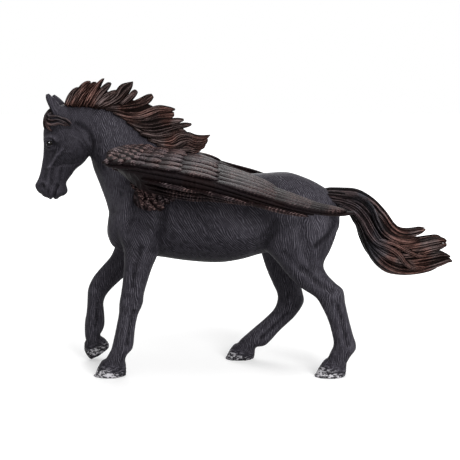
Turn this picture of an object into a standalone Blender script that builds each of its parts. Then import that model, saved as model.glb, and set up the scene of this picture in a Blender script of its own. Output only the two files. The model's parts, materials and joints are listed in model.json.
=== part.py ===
# Winged horse figurine, cast in one piece and standing on three hooves.
#
# The horse faces -X with its left side towards -Y, and +Z is up. All sizes below are in millimetres.
# Soft forms are lofts between sections, fused by a voxel remesh, then modelled with press strokes.

import math

import bmesh
import bpy
import numpy as np
from mathutils import Vector

MM = 0.001

# The floor's height in the side view that the sections are drawn in. The figure is cut flat there.
FLOOR = 0.6

# Fineness of the fused surface, its smoothing, and what the smoothing takes off
BODY_VOXEL = 0.8
FIGURE_VOXEL = 0.5
BODY_SMOOTHING = 6
SKIN = 0.45
TRIANGLES = 11600

# Trunk: top x, top z, bottom x, bottom z, half width
TRUNK_Y = 0.0
TRUNK = [
    (-54.6, 59.5, -54.4, 54.5, 3.5),
    (-53.4, 66.0, -52.6, 50.8, 8.0),
    (-50.0, 73.0, -49.0, 48.6, 10.5),
    (-43.0, 80.5, -43.0, 47.2, 12.3),
    (-34.0, 86.5, -34.0, 46.4, 13.2),
    (-24.0, 87.8, -26.0, 45.2, 14.0),
    (-15.9, 86.4, -18.0, 44.4, 14.8),
    (-9.0, 82.4, -10.0, 44.2, 15.3),
    (-1.3, 79.4, -2.0, 45.4, 15.5),
    (7.0, 79.4, 6.0, 47.6, 15.0),
    (16.4, 79.8, 14.0, 49.0, 14.8),
    (24.0, 77.5, 22.0, 49.0, 14.2),
    (29.5, 74.8, 29.0, 50.0, 12.4),
    (34.0, 71.6, 34.0, 53.0, 9.4),
    (37.0, 67.0, 37.0, 57.5, 5.5),
]
# Neck, from poll to withers: crest x, crest z, throat x, throat z, half width
NECK = [
    (-69.0, 106.6, -66.0, 96.0, 4.0),
    (-64.5, 106.8, -63.5, 91.0, 4.5),
    (-59.5, 106.4, -61.2, 86.8, 5.0),
    (-51.3, 104.4, -59.6, 81.0, 6.4),
    (-44.0, 98.6, -57.2, 74.6, 7.8),
    (-37.0, 92.6, -55.0, 68.0, 9.4),
    (-28.0, 89.0, -53.0, 60.0, 10.8),
    (-20.0, 86.5, -50.0, 54.0, 11.5),
]
# Head, from muzzle to poll: face x, face z, jaw x, jaw z, half width
HEAD = [
    (-76.8, 69.7, -74.6, 69.7, 1.2),
    (-79.8, 70.4, -72.8, 70.5, 2.5),
    (-81.8, 71.8, -71.1, 71.6, 3.2),
    (-82.8, 73.5, -70.7, 73.0, 3.6),
    (-82.9, 75.1, -71.3, 74.9, 3.6),
    (-81.9, 77.2, -70.9, 76.6, 3.4),
    (-81.0, 79.8, -69.3, 78.6, 3.4),
    (-80.3, 83.0, -67.2, 81.4, 3.8),
    (-79.7, 86.2, -64.0, 83.9, 4.7),
    (-79.4, 89.2, -61.7, 87.4, 5.7),
    (-79.3, 92.4, -61.0, 90.6, 6.1),
    (-79.3, 96.0, -61.8, 93.6, 6.2),
    (-78.4, 99.5, -64.3, 96.8, 5.7),
    (-76.6, 103.0, -66.0, 100.0, 5.0),
    (-74.2, 105.4, -67.6, 103.4, 4.0),
    (-71.8, 106.4, -68.8, 105.6, 2.2),
]
# Legs, from body to hoof: front x, front z, back x, back z, y, half width
LEFT_FORE = [
    (-49.0, 68.0, -33.0, 68.0, -4.5, 3.0),
    (-50.0, 58.0, -32.5, 57.0, -9.0, 5.6),
    (-47.5, 51.5, -34.0, 49.8, -10.2, 5.2),
    (-47.1, 45.6, -36.6, 43.6, -11.0, 4.3),
    (-47.6, 39.0, -38.6, 37.7, -11.6, 3.6),
    (-48.4, 33.1, -39.9, 33.0, -12.1, 3.3),
    (-49.1, 29.1, -40.4, 29.3, -12.3, 3.5),
    (-49.3, 25.5, -42.2, 25.3, -12.4, 2.9),
    (-50.3, 20.5, -43.3, 20.5, -12.5, 2.5),
    (-51.5, 15.1, -43.9, 15.3, -12.5, 2.6),
    (-52.5, 11.2, -44.6, 11.5, -12.5, 3.0),
    (-54.0, 8.4, -46.8, 9.0, -12.5, 2.7),
    (-55.6, 5.4, -48.0, 5.6, -12.5, 3.1),
    (-56.0, 3.0, -49.0, 3.0, -12.5, 2.6),
]
RIGHT_FORE = [
    (-50.0, 62.0, -33.0, 60.0, 7.5, 4.8),
    (-52.0, 52.5, -37.0, 48.5, 9.3, 5.2),
    (-54.5, 45.2, -43.5, 41.0, 10.2, 4.6),
    (-58.5, 40.3, -50.2, 35.7, 10.7, 3.8),
    (-62.4, 35.6, -55.3, 31.0, 11.0, 3.4),
    (-64.5, 31.0, -58.0, 27.5, 11.0, 3.5),
    (-65.0, 26.5, -58.9, 24.5, 11.0, 3.0),
    (-65.4, 21.5, -58.6, 20.5, 11.0, 2.5),
    (-66.3, 16.5, -58.5, 16.0, 11.0, 2.8),
    (-66.4, 13.0, -59.5, 12.8, 11.0, 2.9),
    (-66.3, 10.4, -60.6, 11.2, 11.0, 2.6),
    (-65.6, 8.2, -59.6, 9.4, 11.0, 3.0),
    (-64.6, 6.2, -59.6, 7.6, 11.0, 2.6),
]
RIGHT_HIND = [
    (9.0, 70.0, 28.0, 67.0, 4.0, 4.0),
    (3.5, 58.0, 30.5, 56.0, 8.4, 6.4),
    (6.5, 48.0, 27.0, 46.0, 9.8, 5.8),
    (9.0, 40.0, 25.0, 38.5, 11.0, 4.8),
    (11.5, 34.0, 23.4, 32.5, 12.0, 4.0),
    (13.9, 28.5, 24.2, 28.4, 12.6, 3.5),
    (13.9, 24.6, 24.6, 24.6, 13.0, 3.4),
    (12.2, 21.0, 21.0, 18.8, 13.0, 2.9),
    (8.2, 17.0, 14.8, 12.8, 13.0, 2.5),
    (3.2, 12.6, 10.8, 8.2, 13.0, 2.7),
    (0.7, 10.3, 8.3, 6.2, 13.0, 3.0),
    (-1.8, 7.9, 5.2, 5.8, 13.0, 2.8),
    (-3.4, 5.0, 3.8, 4.2, 13.0, 3.1),
    (-3.6, 3.0, 2.4, 2.8, 13.0, 2.6),
]
LEFT_HIND = [
    (10.0, 70.0, 31.0, 69.0, -4.0, 4.0),
    (4.0, 60.0, 35.6, 60.0, -8.2, 6.8),
    (6.5, 52.5, 33.6, 51.5, -9.2, 6.4),
    (12.0, 46.5, 30.4, 45.0, -10.2, 5.5),
    (17.3, 40.2, 31.6, 41.0, -11.2, 4.6),
    (22.0, 35.8, 35.0, 37.4, -12.0, 3.9),
    (27.5, 32.2, 38.0, 34.8, -12.5, 3.6),
    (30.0, 28.5, 38.7, 30.3, -12.8, 3.3),
    (32.5, 23.3, 40.2, 23.8, -13.0, 2.8),
    (34.2, 17.6, 41.9, 17.6, -13.0, 2.7),
    (34.9, 13.0, 43.4, 12.2, -13.0, 3.1),
    (33.6, 9.8, 41.3, 8.8, -13.0, 2.8),
    (32.2, 5.8, 39.6, 5.8, -13.0, 3.1),
    (32.0, 3.0, 38.4, 3.0, -13.0, 2.6),
]
# Hooves, coronet to sole: front x, front z, back x, back z, y, half width. Those that stand pass the floor.
HOOVES = [
    [
        (-56.3, 6.6, -47.6, 7.4, -12.5, 3.0), (-58.2, 3.2, -47.2, 3.6, -12.5, 4.0),
        (-59.8, -1.5, -47.4, -1.5, -12.5, 4.8),
    ],
    [
        (-66.6, 8.2, -59.0, 9.9, 11.0, 2.9), (-66.6, 4.4, -57.0, 7.4, 11.0, 3.8),
        (-64.4, 0.9, -56.9, 5.6, 11.0, 4.1),
    ],
    [
        (-4.1, 6.5, 4.4, 5.4, 13.0, 3.0), (-6.4, 3.2, 4.2, 2.6, 13.0, 4.0),
        (-8.2, -1.5, 3.6, -1.5, 13.0, 4.7),
    ],
    [
        (31.4, 7.0, 39.7, 7.0, -13.0, 3.0), (29.1, 3.4, 39.6, 3.2, -13.0, 4.0),
        (26.9, -1.5, 38.9, -1.5, -13.0, 4.8),
    ],
]


# Ears, base to tip: x, z, y, half breadth, half thickness
EARS = [
    [
        (-73.2, 102.6, -2.8, 2.5, 1.7), (-74.1, 105.0, -3.3, 2.3, 1.5), (-75.4, 107.4, -3.8, 1.9, 1.2),
        (-76.4, 109.2, -4.1, 1.4, 0.9), (-76.9, 110.6, -4.3, 0.7, 0.5),
    ],
    [
        (-71.4, 102.8, 2.8, 2.3, 1.7), (-72.6, 105.2, 3.3, 2.2, 1.5), (-74.2, 107.4, 3.8, 1.8, 1.2),
        (-75.4, 109.0, 4.1, 1.3, 0.9), (-76.0, 110.2, 4.3, 0.6, 0.5),
    ],
]
# Locks of the mane, root to tip: x, z, half breadth. Each is laid on both sides of the crest, and every
# second one stands further out by LOCK_STEP.
MANE_SPREAD = 1.8
LOCK_STEP = 0.9
LOCK_THICKNESS = 1.9
MANE = [
    [(-69.8, 106.0, 1.3), (-68.5, 109.2, 1.4), (-66.9, 111.8, 1.1), (-65.6, 113.3, 0.3)],
    [
        (-67.6, 106.0, 1.4), (-65.8, 109.8, 1.6), (-64.1, 112.4, 1.5), (-62.4, 114.5, 1.1),
        (-60.7, 115.6, 0.4),
    ],
    [
        (-65.2, 105.6, 1.4), (-63.1, 109.8, 1.5), (-61.2, 112.5, 1.4), (-59.6, 114.4, 1.0),
        (-58.4, 115.2, 0.4),
    ],
    [
        (-62.4, 105.8, 1.3), (-60.1, 110.3, 1.4), (-58.1, 113.3, 1.1), (-56.5, 115.5, 0.7),
        (-55.3, 116.8, 0.3),
    ],
    [
        (-60.2, 105.6, 1.3), (-57.3, 110.1, 1.5), (-55.4, 112.4, 1.4), (-53.8, 114.1, 1.1),
        (-52.7, 115.0, 0.6),
    ],
    [(-58.8, 105.4, 1.2), (-55.1, 108.9, 1.4), (-52.4, 110.7, 1.3), (-50.2, 111.9, 0.6)],
    [
        (-57.6, 105.2, 1.2), (-53.1, 107.3, 1.6), (-49.8, 109.5, 2.2), (-47.5, 112.3, 2.4),
        (-45.5, 114.0, 1.5), (-44.0, 115.4, 0.3),
    ],
    [(-48.6, 106.4, 1.0), (-45.2, 109.2, 1.2), (-43.7, 111.0, 1.2), (-42.6, 112.0, 0.8)],
    [
        (-54.6, 104.8, 1.2), (-48.1, 105.5, 1.5), (-43.6, 106.3, 1.8), (-40.2, 107.7, 1.9),
        (-38.1, 109.0, 1.7), (-36.3, 110.1, 1.0),
    ],
    [
        (-51.4, 104.0, 1.3), (-46.4, 102.6, 1.5), (-41.4, 102.4, 1.8), (-36.9, 103.9, 1.8),
        (-33.8, 105.0, 1.4), (-30.8, 104.8, 1.2), (-27.6, 104.6, 0.6),
    ],
    [
        (-48.6, 102.2, 1.2), (-43.5, 100.5, 1.5), (-38.3, 100.6, 1.7), (-33.9, 102.2, 1.7),
        (-30.5, 102.6, 1.8), (-28.0, 102.9, 1.4),
    ],
    [
        (-46.0, 100.0, 1.2), (-40.9, 98.1, 1.5), (-35.9, 98.3, 1.6), (-31.1, 99.5, 1.5),
        (-27.2, 100.3, 1.2), (-24.2, 100.6, 0.7),
    ],
    [
        (-43.6, 97.9, 1.1), (-38.8, 96.0, 1.4), (-33.9, 96.2, 1.6), (-29.0, 97.4, 1.5),
        (-24.5, 98.4, 1.2), (-21.1, 98.8, 0.7),
    ],
    [(-41.2, 95.4, 1.1), (-35.5, 94.0, 1.4), (-31.0, 94.5, 1.7), (-27.1, 95.7, 1.5), (-23.2, 95.8, 1.1)],
    [
        (-38.2, 93.4, 1.1), (-32.5, 91.9, 1.4), (-28.8, 92.4, 1.5), (-26.0, 94.2, 1.5),
        (-22.6, 94.6, 1.3), (-19.6, 93.7, 1.2), (-16.4, 93.6, 1.1), (-13.8, 94.6, 0.4),
    ],
    [
        (-34.6, 91.4, 1.1), (-28.7, 90.4, 1.3), (-25.4, 91.9, 1.4), (-22.7, 92.7, 1.4),
        (-19.6, 91.6, 1.6), (-16.8, 91.9, 1.5), (-14.8, 93.0, 0.9),
    ],
    [
        (-31.4, 90.0, 1.0), (-26.1, 89.6, 1.2), (-23.0, 90.8, 1.3), (-20.2, 90.0, 1.4),
        (-17.4, 90.2, 1.3), (-15.7, 91.2, 0.7),
    ],
    [(-28.0, 88.6, 0.9), (-22.7, 89.0, 1.1), (-19.9, 88.4, 1.1), (-17.5, 88.9, 0.5)],
]
# Fin under the locks: outer x, outer z, root x, root z, half width
MANE_CORE = [
    (-70.0, 107.5, -70.5, 103.5, 1.8),
    (-66.0, 111.0, -66.5, 103.0, 2.2),
    (-60.5, 113.0, -61.5, 102.5, 2.4),
    (-55.0, 112.0, -56.5, 102.0, 2.4),
    (-49.5, 110.0, -52.0, 100.5, 2.4),
    (-44.0, 108.3, -48.5, 97.5, 2.4),
    (-38.5, 107.0, -45.0, 94.0, 2.4),
    (-33.0, 104.0, -41.5, 90.5, 2.4),
    (-28.0, 100.4, -37.0, 88.0, 2.2),
    (-23.5, 96.4, -31.0, 86.5, 1.9),
    (-18.0, 92.4, -25.0, 85.5, 1.6),
]
# Forelock, from between the ears across the temple: x, z, y, half breadth, half thickness
FORELOCK = [
    [
        (-71.6, 105.6, -0.6, 1.0, 1.0), (-75.6, 104.4, -1.6, 1.1, 1.1), (-77.6, 102.2, -2.4, 1.1, 1.0),
        (-78.4, 99.6, -3.0, 0.8, 0.9), (-78.5, 97.2, -3.4, 0.3, 0.4),
    ],
    [
        (-73.2, 104.8, -1.6, 0.9, 0.9), (-76.6, 102.8, -3.2, 0.8, 0.9), (-75.7, 102.0, -4.5, 0.7, 0.7),
        (-73.4, 102.1, -5.3, 0.7, 0.6), (-71.2, 101.3, -5.6, 0.7, 0.6), (-69.4, 100.8, -5.5, 0.6, 0.5),
        (-67.4, 99.0, -5.2, 0.25, 0.3),
    ],
    [
        (-75.4, 103.8, -2.4, 0.8, 0.8), (-77.0, 101.0, -3.8, 0.8, 0.8), (-75.0, 100.2, -4.9, 0.7, 0.7),
        (-72.9, 100.5, -5.5, 0.7, 0.6), (-70.6, 99.9, -5.7, 0.6, 0.5), (-67.8, 98.3, -5.5, 0.25, 0.3),
    ],
    [
        (-77.2, 101.6, -3.0, 0.8, 0.8), (-77.2, 99.4, -4.0, 0.7, 0.7), (-75.1, 98.8, -5.1, 0.7, 0.6),
        (-72.3, 99.2, -5.8, 0.6, 0.5), (-69.4, 98.4, -5.9, 0.25, 0.3),
    ],
    [(-77.6, 100.6, -3.4, 0.8, 0.8), (-77.0, 98.0, -4.5, 0.8, 0.7), (-75.2, 96.2, -5.5, 0.3, 0.3)],
    [
        (-71.6, 105.6, 0.6, 1.0, 1.0), (-75.4, 104.2, 2.0, 1.1, 1.1), (-77.2, 101.6, 3.2, 1.0, 1.0),
        (-77.8, 99.2, 4.0, 0.7, 0.8), (-77.6, 97.0, 4.6, 0.3, 0.4),
    ],
    [
        (-73.2, 104.8, 1.6, 0.9, 0.9), (-76.2, 102.4, 3.6, 0.8, 0.8), (-73.6, 101.6, 5.2, 0.7, 0.6),
        (-70.8, 100.6, 5.6, 0.6, 0.5), (-68.2, 99.0, 5.4, 0.25, 0.3),
    ],
]
# Strands of the tail, dock to tip: x, z, y, half breadth, half thickness. Those beside the midline are
# repeated on the far side, a little shorter (back) and higher (up) towards their tips. The last ones cross
# over the rest.
FAR_STRANDS = {"back": 1.2, "up": 0.6}
TAIL = [
    [
        (29.0, 71.8, 0.0, 2.4, 3.2), (38.4, 72.0, 0.0, 2.0, 3.2), (44.4, 71.4, 0.0, 2.0, 3.2),
        (49.8, 68.2, 0.0, 2.1, 3.2), (54.5, 63.4, 0.0, 2.1, 3.0), (58.3, 58.4, 0.0, 2.0, 2.8),
        (62.0, 56.0, 0.0, 1.9, 2.6), (66.4, 55.8, 0.0, 1.8, 2.3), (70.0, 56.6, 0.0, 1.5, 1.9),
        (72.2, 57.0, 0.0, 0.9, 1.2),
    ],
    [
        (30.0, 71.0, -2.0, 2.2, 3.0), (37.4, 70.6, -3.0, 1.9, 2.8), (43.7, 69.4, -3.6, 1.9, 2.8),
        (48.4, 65.8, -4.0, 1.9, 2.8), (51.8, 60.8, -4.2, 1.9, 2.8), (55.2, 56.0, -4.2, 1.9, 2.7),
        (59.9, 53.4, -4.0, 1.8, 2.5), (64.9, 53.4, -3.4, 1.6, 2.0), (69.4, 54.2, -2.8, 0.7, 1.0),
    ],
    [
        (31.0, 70.2, -2.6, 2.0, 2.8), (38.0, 69.2, -4.0, 1.8, 2.6), (43.3, 67.2, -4.6, 1.8, 2.7),
        (47.3, 63.2, -5.0, 1.8, 2.7), (50.2, 58.2, -5.2, 1.8, 2.7), (53.1, 54.0, -5.2, 1.9, 2.7),
        (58.1, 51.2, -4.8, 2.0, 2.5), (64.1, 50.8, -4.0, 1.9, 2.3), (70.0, 51.6, -3.2, 1.7, 2.0),
        (74.6, 52.5, -2.0, 1.6, 1.7), (78.4, 53.0, -1.6, 1.4, 1.4), (80.4, 52.2, -1.2, 0.8, 0.9),
    ],
    [
        (36.1, 67.9, -3.0, 1.7, 2.4), (41.3, 65.9, -4.6, 1.8, 2.5), (45.7, 62.0, -5.2, 1.8, 2.6),
        (48.4, 57.2, -5.4, 1.9, 2.7), (51.2, 52.8, -5.6, 1.9, 2.7), (56.2, 49.4, -5.2, 2.0, 2.6),
        (62.2, 48.0, -4.4, 2.0, 2.4), (68.1, 48.2, -3.0, 1.8, 2.1), (73.1, 49.3, -1.9, 1.6, 1.8),
        (77.3, 50.3, -1.4, 1.4, 1.5), (80.6, 51.2, -1.0, 0.8, 0.9),
    ],
    [
        (39.3, 66.0, -2.6, 1.6, 2.2), (43.9, 63.0, -4.2, 1.7, 2.4), (46.7, 58.6, -4.8, 1.8, 2.6),
        (48.8, 53.6, -5.2, 1.9, 2.7), (52.7, 49.4, -5.2, 2.0, 2.7), (58.1, 46.2, -4.6, 2.1, 2.6),
        (64.1, 44.8, -3.8, 2.0, 2.3), (70.0, 45.2, -2.6, 1.8, 2.0), (75.2, 46.1, -1.7, 1.6, 1.7),
        (79.2, 46.7, -1.2, 1.4, 1.4), (82.2, 46.2, -0.9, 0.9, 0.9),
    ],
    [
        (41.6, 64.2, -1.6, 1.5, 2.2), (45.9, 59.3, -3.0, 1.7, 2.4), (48.0, 53.8, -3.6, 1.8, 2.6),
        (50.9, 48.6, -4.0, 2.0, 2.8), (54.8, 44.6, -3.8, 2.1, 2.8), (59.8, 41.9, -3.2, 2.1, 2.5),
        (65.9, 41.1, -2.6, 1.9, 2.2), (71.8, 42.0, -1.9, 1.7, 1.9), (77.1, 43.5, -1.4, 1.5, 1.6),
        (81.0, 44.8, -1.1, 1.3, 1.3), (83.0, 44.4, -0.9, 0.8, 0.9),
    ],
    [
        (44.2, 60.6, 0.0, 1.4, 2.4), (47.4, 54.6, 0.0, 1.5, 2.8), (50.0, 48.8, 0.0, 1.6, 3.0),
        (53.1, 44.3, 0.0, 1.7, 3.0), (57.2, 41.0, 0.0, 1.6, 2.6), (62.3, 39.7, 0.0, 1.3, 2.0),
        (67.6, 39.6, 0.0, 1.0, 1.5), (72.9, 40.3, 0.0, 0.7, 1.0), (76.9, 41.4, 0.0, 0.4, 0.5),
    ],
    [
        (39.5, 67.5, -4.6, 1.0, 1.5), (45.2, 62.1, -6.6, 1.2, 1.9), (48.1, 56.8, -7.2, 1.3, 1.9),
        (51.6, 52.9, -7.6, 1.3, 1.9), (56.3, 51.0, -7.2, 1.4, 1.9), (60.6, 48.3, -6.4, 1.4, 1.8),
        (63.7, 44.5, -5.4, 1.3, 1.7), (67.6, 42.3, -4.3, 1.2, 1.4), (72.5, 42.3, -3.2, 0.5, 0.7),
    ],
    [
        (37.0, 71.5, -2.6, 1.0, 1.6), (44.5, 70.6, -4.4, 1.2, 1.9), (49.2, 66.6, -5.6, 1.3, 2.0),
        (51.6, 61.4, -6.4, 1.3, 2.0), (54.3, 57.2, -6.4, 1.3, 1.9), (58.6, 54.4, -5.9, 1.4, 1.8),
        (63.9, 53.1, -4.8, 1.3, 1.5), (69.4, 53.2, -3.6, 0.5, 0.7),
    ],
    [
        (50.7, 54.8, -6.0, 1.0, 1.4), (55.0, 53.1, -6.9, 1.1, 1.7), (58.6, 52.1, -6.8, 1.2, 1.7),
        (63.3, 49.5, -5.8, 1.2, 1.6), (67.9, 47.5, -4.6, 1.1, 1.4), (72.6, 47.0, -3.4, 0.5, 0.7),
    ],
]
# Body of the tail under the strands: upper x, upper z, lower x, lower z, half width
TAIL_CORE = [
    (33.0, 71.5, 34.0, 68.5, 3.0),
    (42.0, 70.2, 40.5, 65.5, 3.6),
    (50.2, 66.6, 45.5, 58.0, 4.2),
    (55.2, 61.4, 49.0, 50.5, 4.6),
    (59.4, 56.6, 54.5, 44.6, 4.4),
    (64.0, 53.4, 62.0, 42.2, 3.4),
    (69.0, 51.2, 69.0, 43.4, 2.4),
    (73.0, 49.4, 73.0, 45.4, 1.6),
]
# Left wing, front to tip: inner edge x, y, z, outer edge x, y, z, half thickness. The right wing mirrors it.
WING = [
    (-47.6, -31.0, 88.2, -50.4, -38.0, 86.4, 1.0),
    (-45.4, -24.0, 89.4, -50.0, -40.4, 85.6, 1.8),
    (-41.0, -14.0, 89.2, -47.0, -41.8, 85.0, 2.2),
    (-34.0, -7.0, 88.6, -39.5, -42.4, 84.2, 2.2),
    (-25.0, -4.5, 87.4, -30.0, -42.8, 82.4, 2.1),
    (-15.0, -4.5, 85.0, -18.0, -43.0, 80.0, 2.0),
    (-6.0, -7.0, 81.4, -6.4, -43.0, 76.8, 1.8),
    (4.0, -14.5, 77.8, 4.0, -43.0, 73.6, 1.6),
    (14.0, -24.0, 73.9, 14.0, -42.6, 70.6, 1.3),
    (24.0, -31.0, 70.8, 24.0, -42.0, 68.4, 1.1),
    (33.0, -35.5, 68.9, 33.0, -41.0, 67.6, 0.9),
    (38.6, -38.0, 68.4, 38.6, -39.6, 68.1, 0.4),
]
# The wing's fleshy root and underside, in the same form. ROOT_SWELL makes it thicker near the body.
ROOT_SWELL = 0.5
WING_ROOT = [
    (-37.0, -11.0, 78.5, -48.5, -38.0, 86.0, 3.0),
    (-34.0, -9.0, 78.6, -42.0, -41.0, 83.8, 5.8),
    (-26.0, -8.0, 78.8, -31.0, -41.6, 81.4, 6.6),
    (-17.0, -8.0, 77.8, -18.5, -41.8, 78.8, 6.0),
    (-8.0, -9.0, 76.4, -7.0, -41.8, 75.8, 4.6),
    (0.0, -17.0, 74.6, 3.0, -41.8, 72.8, 2.8),
    (9.0, -26.0, 72.0, 14.0, -41.6, 69.7, 1.8),
    (20.0, -33.0, 69.6, 24.0, -41.0, 67.7, 1.3),
]
WING_ARM = [
    (-39.0, 69.0, -9.0, 6.5, 4.6),
    (-35.5, 73.5, -14.0, 6.0, 4.4),
    (-36.5, 79.5, -20.0, 5.2, 4.0),
    (-41.0, 84.0, -28.0, 3.8, 3.4),
    (-47.0, 86.0, -36.0, 2.6, 2.6),
]
# Rows of feathers on the upper and the lower face: start x at the inner edge and at the outer edge, length,
# number and half breadth. across is the strip of the wing they cover, 0 at the inner edge and 1 at the outer.
FEATHER_LIFT = 0.9
FEATHER_THICKNESS = 0.8
UPPER_FEATHERS = [
    {"start": (-46.0, -50.0), "length": 8.0, "number": 6, "half": 3.2, "across": (0.10, 0.97)},
    {"start": (-42.0, -45.0), "length": 9.0, "number": 6, "half": 3.3, "across": (0.08, 0.97)},
    {"start": (-38.0, -40.0), "length": 9.5, "number": 6, "half": 3.4, "across": (0.06, 0.97)},
    {"start": (-33.0, -34.5), "length": 11.0, "number": 6, "half": 3.5, "across": (0.06, 0.97)},
    {"start": (-26.0, -27.5), "length": 17.0, "number": 6, "half": 3.5, "across": (0.05, 0.97)},
    {"start": (-13.0, -14.0), "length": 25.0, "number": 6, "half": 3.1, "across": (0.10, 0.97)},
    {"start": (2.0, 0.0), "length": 26.0, "number": 5, "half": 2.6, "across": (0.20, 0.96)},
    {"start": (10.0, 6.0), "length": 28.0, "number": 4, "half": 2.2, "across": (0.30, 0.95)},
]
LOWER_FEATHERS = [
    {"start": (-33.0, -38.0), "length": 22.0, "number": 5, "half": 3.4, "across": (0.22, 0.96)},
    {"start": (-20.0, -22.0), "length": 24.0, "number": 5, "half": 3.2, "across": (0.24, 0.96)},
    {"start": (-8.0, -6.0), "length": 28.0, "number": 4, "half": 2.6, "across": (0.30, 0.96)},
]
# Feathers over the shoulder: root x, z, y, tip x, z, y, half breadth
TUFT_THICKNESS = 1.4
TUFT = [
    (-37.0, 76.0, -13.5, -29.0, 69.0, -16.0, 2.2),
    (-39.0, 73.0, -12.6, -32.0, 66.4, -15.0, 2.2),
    (-34.0, 78.5, -15.5, -25.0, 71.6, -16.6, 2.2),
]

# Strokes that model the skin, as seen from the side: side (-1 left, 1 right, 0 both), reach, rise,
# points x, z
STROKES = [
    (0, 2.4, -0.9, [(-39.0, 87.0), (-49.0, 71.0), (-53.5, 62.0)]),
    (0, 4.5, 0.7, [(-40.0, 78.0), (-46.0, 68.0), (-49.0, 61.0)]),
    (0, 5.0, 0.8, [(-39.5, 61.0), (-38.5, 55.0)]),
    (0, 2.0, -1.2, [(-31.5, 69.0), (-32.5, 59.0), (-35.2, 51.0)]),
    (0, 2.0, -0.8, [(-60.0, 84.0), (-56.0, 74.0), (-52.5, 66.0)]),
    (0, 4.0, 0.7, [(-60.0, 93.0), (-52.0, 82.0), (-46.0, 75.0)]),
    (0, 3.0, -0.4, [(-28.0, 51.0), (-10.0, 49.0), (3.0, 53.0)]),
    (0, 2.4, -1.1, [(11.0, 61.0), (8.2, 55.0), (6.0, 50.0)]),
    (0, 5.0, -0.9, [(9.0, 69.0)]),
    (0, 3.2, 0.8, [(14.0, 75.0)]),
    (0, 5.0, 0.8, [(15.0, 62.0), (14.0, 55.0)]),
    (0, 2.2, -0.8, [(21.0, 66.0), (23.0, 54.0), (26.0, 45.0)]),
    (0, 4.0, 0.6, [(29.0, 63.0), (28.0, 54.0)]),
    (0, 1.8, -0.9, [(34.0, 67.0), (32.0, 57.0), (29.6, 48.0)]),
    (0, 4.3, 0.9, [(-66.8, 90.4)]),
    (0, 1.5, -1.5, [(-65.4, 98.6), (-61.6, 96.0), (-59.8, 91.4), (-60.4, 87.0)]),
    (0, 1.3, -0.5, [(-74.6, 83.6), (-71.6, 83.9), (-68.4, 83.9), (-65.8, 84.6)]),
    (0, 1.0, 0.6, [(-71.6, 89.2), (-73.9, 86.5), (-77.2, 82.2)]),
    (0, 1.4, -0.4, [(-77.4, 87.5), (-78.4, 82.0), (-78.9, 78.5)]),
    (0, 1.6, 0.3, [(-76.2, 91.6)]),
    (0, 0.9, 0.8, [(-78.3, 92.9), (-76.4, 94.2), (-74.2, 94.0), (-73.0, 92.6)]),
    (0, 0.8, 0.4, [(-77.8, 89.9), (-76.2, 89.2), (-74.6, 89.8)]),
    (0, 1.6, -0.6, [(-74.6, 97.0)]),
    (0, 0.9, 0.5, [(-76.6, 82.0), (-77.5, 78.8), (-77.7, 75.8)]),
    (0, 0.9, 0.5, [(-73.4, 82.4), (-74.3, 79.2), (-74.6, 76.4)]),
    (0, 0.8, -1.1, [(-80.6, 75.0), (-79.4, 74.7)]),
    (0, 0.8, 0.6, [(-81.6, 76.0), (-79.9, 76.8), (-78.4, 76.0), (-78.0, 74.6)]),
    (0, 0.7, -0.7, [(-75.6, 70.2), (-75.0, 72.4), (-74.0, 75.0)]),
    (-1, 0.9, -0.7, [(-43.6, 27.0), (-45.2, 20.0), (-46.2, 14.0)]),
    (-1, 1.2, -0.5, [(-43.0, 45.0), (-43.4, 37.0)]),
    (-1, 1.8, 0.5, [(-46.5, 31.0)]),
    (-1, 0.9, -0.7, [(35.8, 29.0), (38.2, 20.0), (39.8, 14.0)]),
    (-1, 1.4, -0.7, [(22.0, 43.5), (28.0, 38.4), (33.0, 35.4)]),
    (-1, 1.6, 0.5, [(34.4, 33.0)]),
    (1, 0.9, -0.6, [(-60.6, 25.0), (-61.6, 16.0)]),
    (1, 1.8, 0.5, [(-62.5, 30.5)]),
    (1, 0.9, -0.6, [(17.6, 20.4), (11.4, 14.0), (7.0, 10.0)]),
    (1, 1.6, 0.5, [(19.0, 26.0)]),
]


def smooth_rows(rows, steps):
    """Rows of numbers, with `steps` rows to each span, on a Catmull-Rom curve through the given rows."""
    rows = np.array(rows, float)
    ends = np.vstack([2 * rows[0] - rows[1], rows, 2 * rows[-1] - rows[-2]])
    t = np.arange(steps)[:, None] / steps
    spans = []
    for a, b, c, d in zip(ends, ends[1:], ends[2:], ends[3:]):
        cubic = 2 * b + (c - a) * t + (2 * a - 5 * b + 4 * c - d) * t**2
        spans.append((cubic + (3 * b - a - 3 * c + d) * t**3) / 2)
    return np.vstack(spans + [rows[-1:]])


def mesh_object(name, points, faces, collection):
    """An object with these points, in millimetres."""
    mesh = bpy.data.meshes.new(name)
    mesh.from_pydata((np.asarray(points) * MM).tolist(), [], faces)
    obj = bpy.data.objects.new(name, mesh)
    collection.objects.link(obj)
    return obj


def skin(name, rings, collection):
    """A closed skin over rings of points, rings[i][j], each with a flat end."""
    count, sides = rings.shape[:2]
    corner = np.arange(count * sides).reshape(count, sides)
    after = np.roll(corner, -1, axis=1)
    quads = np.stack([corner[:-1], after[:-1], after[1:], corner[1:]], axis=-1).reshape(-1, 4)
    faces = quads.tolist() + [corner[0][::-1].tolist(), corner[-1].tolist()]
    obj = mesh_object(name, rings.reshape(-1, 3), faces, collection)
    face_outwards(obj)
    return obj


def face_outwards(obj):
    """Turns every face of a closed mesh outwards."""
    shell = bmesh.new()
    shell.from_mesh(obj.data)
    bmesh.ops.recalc_face_normals(shell, faces=shell.faces)
    shell.to_mesh(obj.data)
    shell.free()


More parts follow.
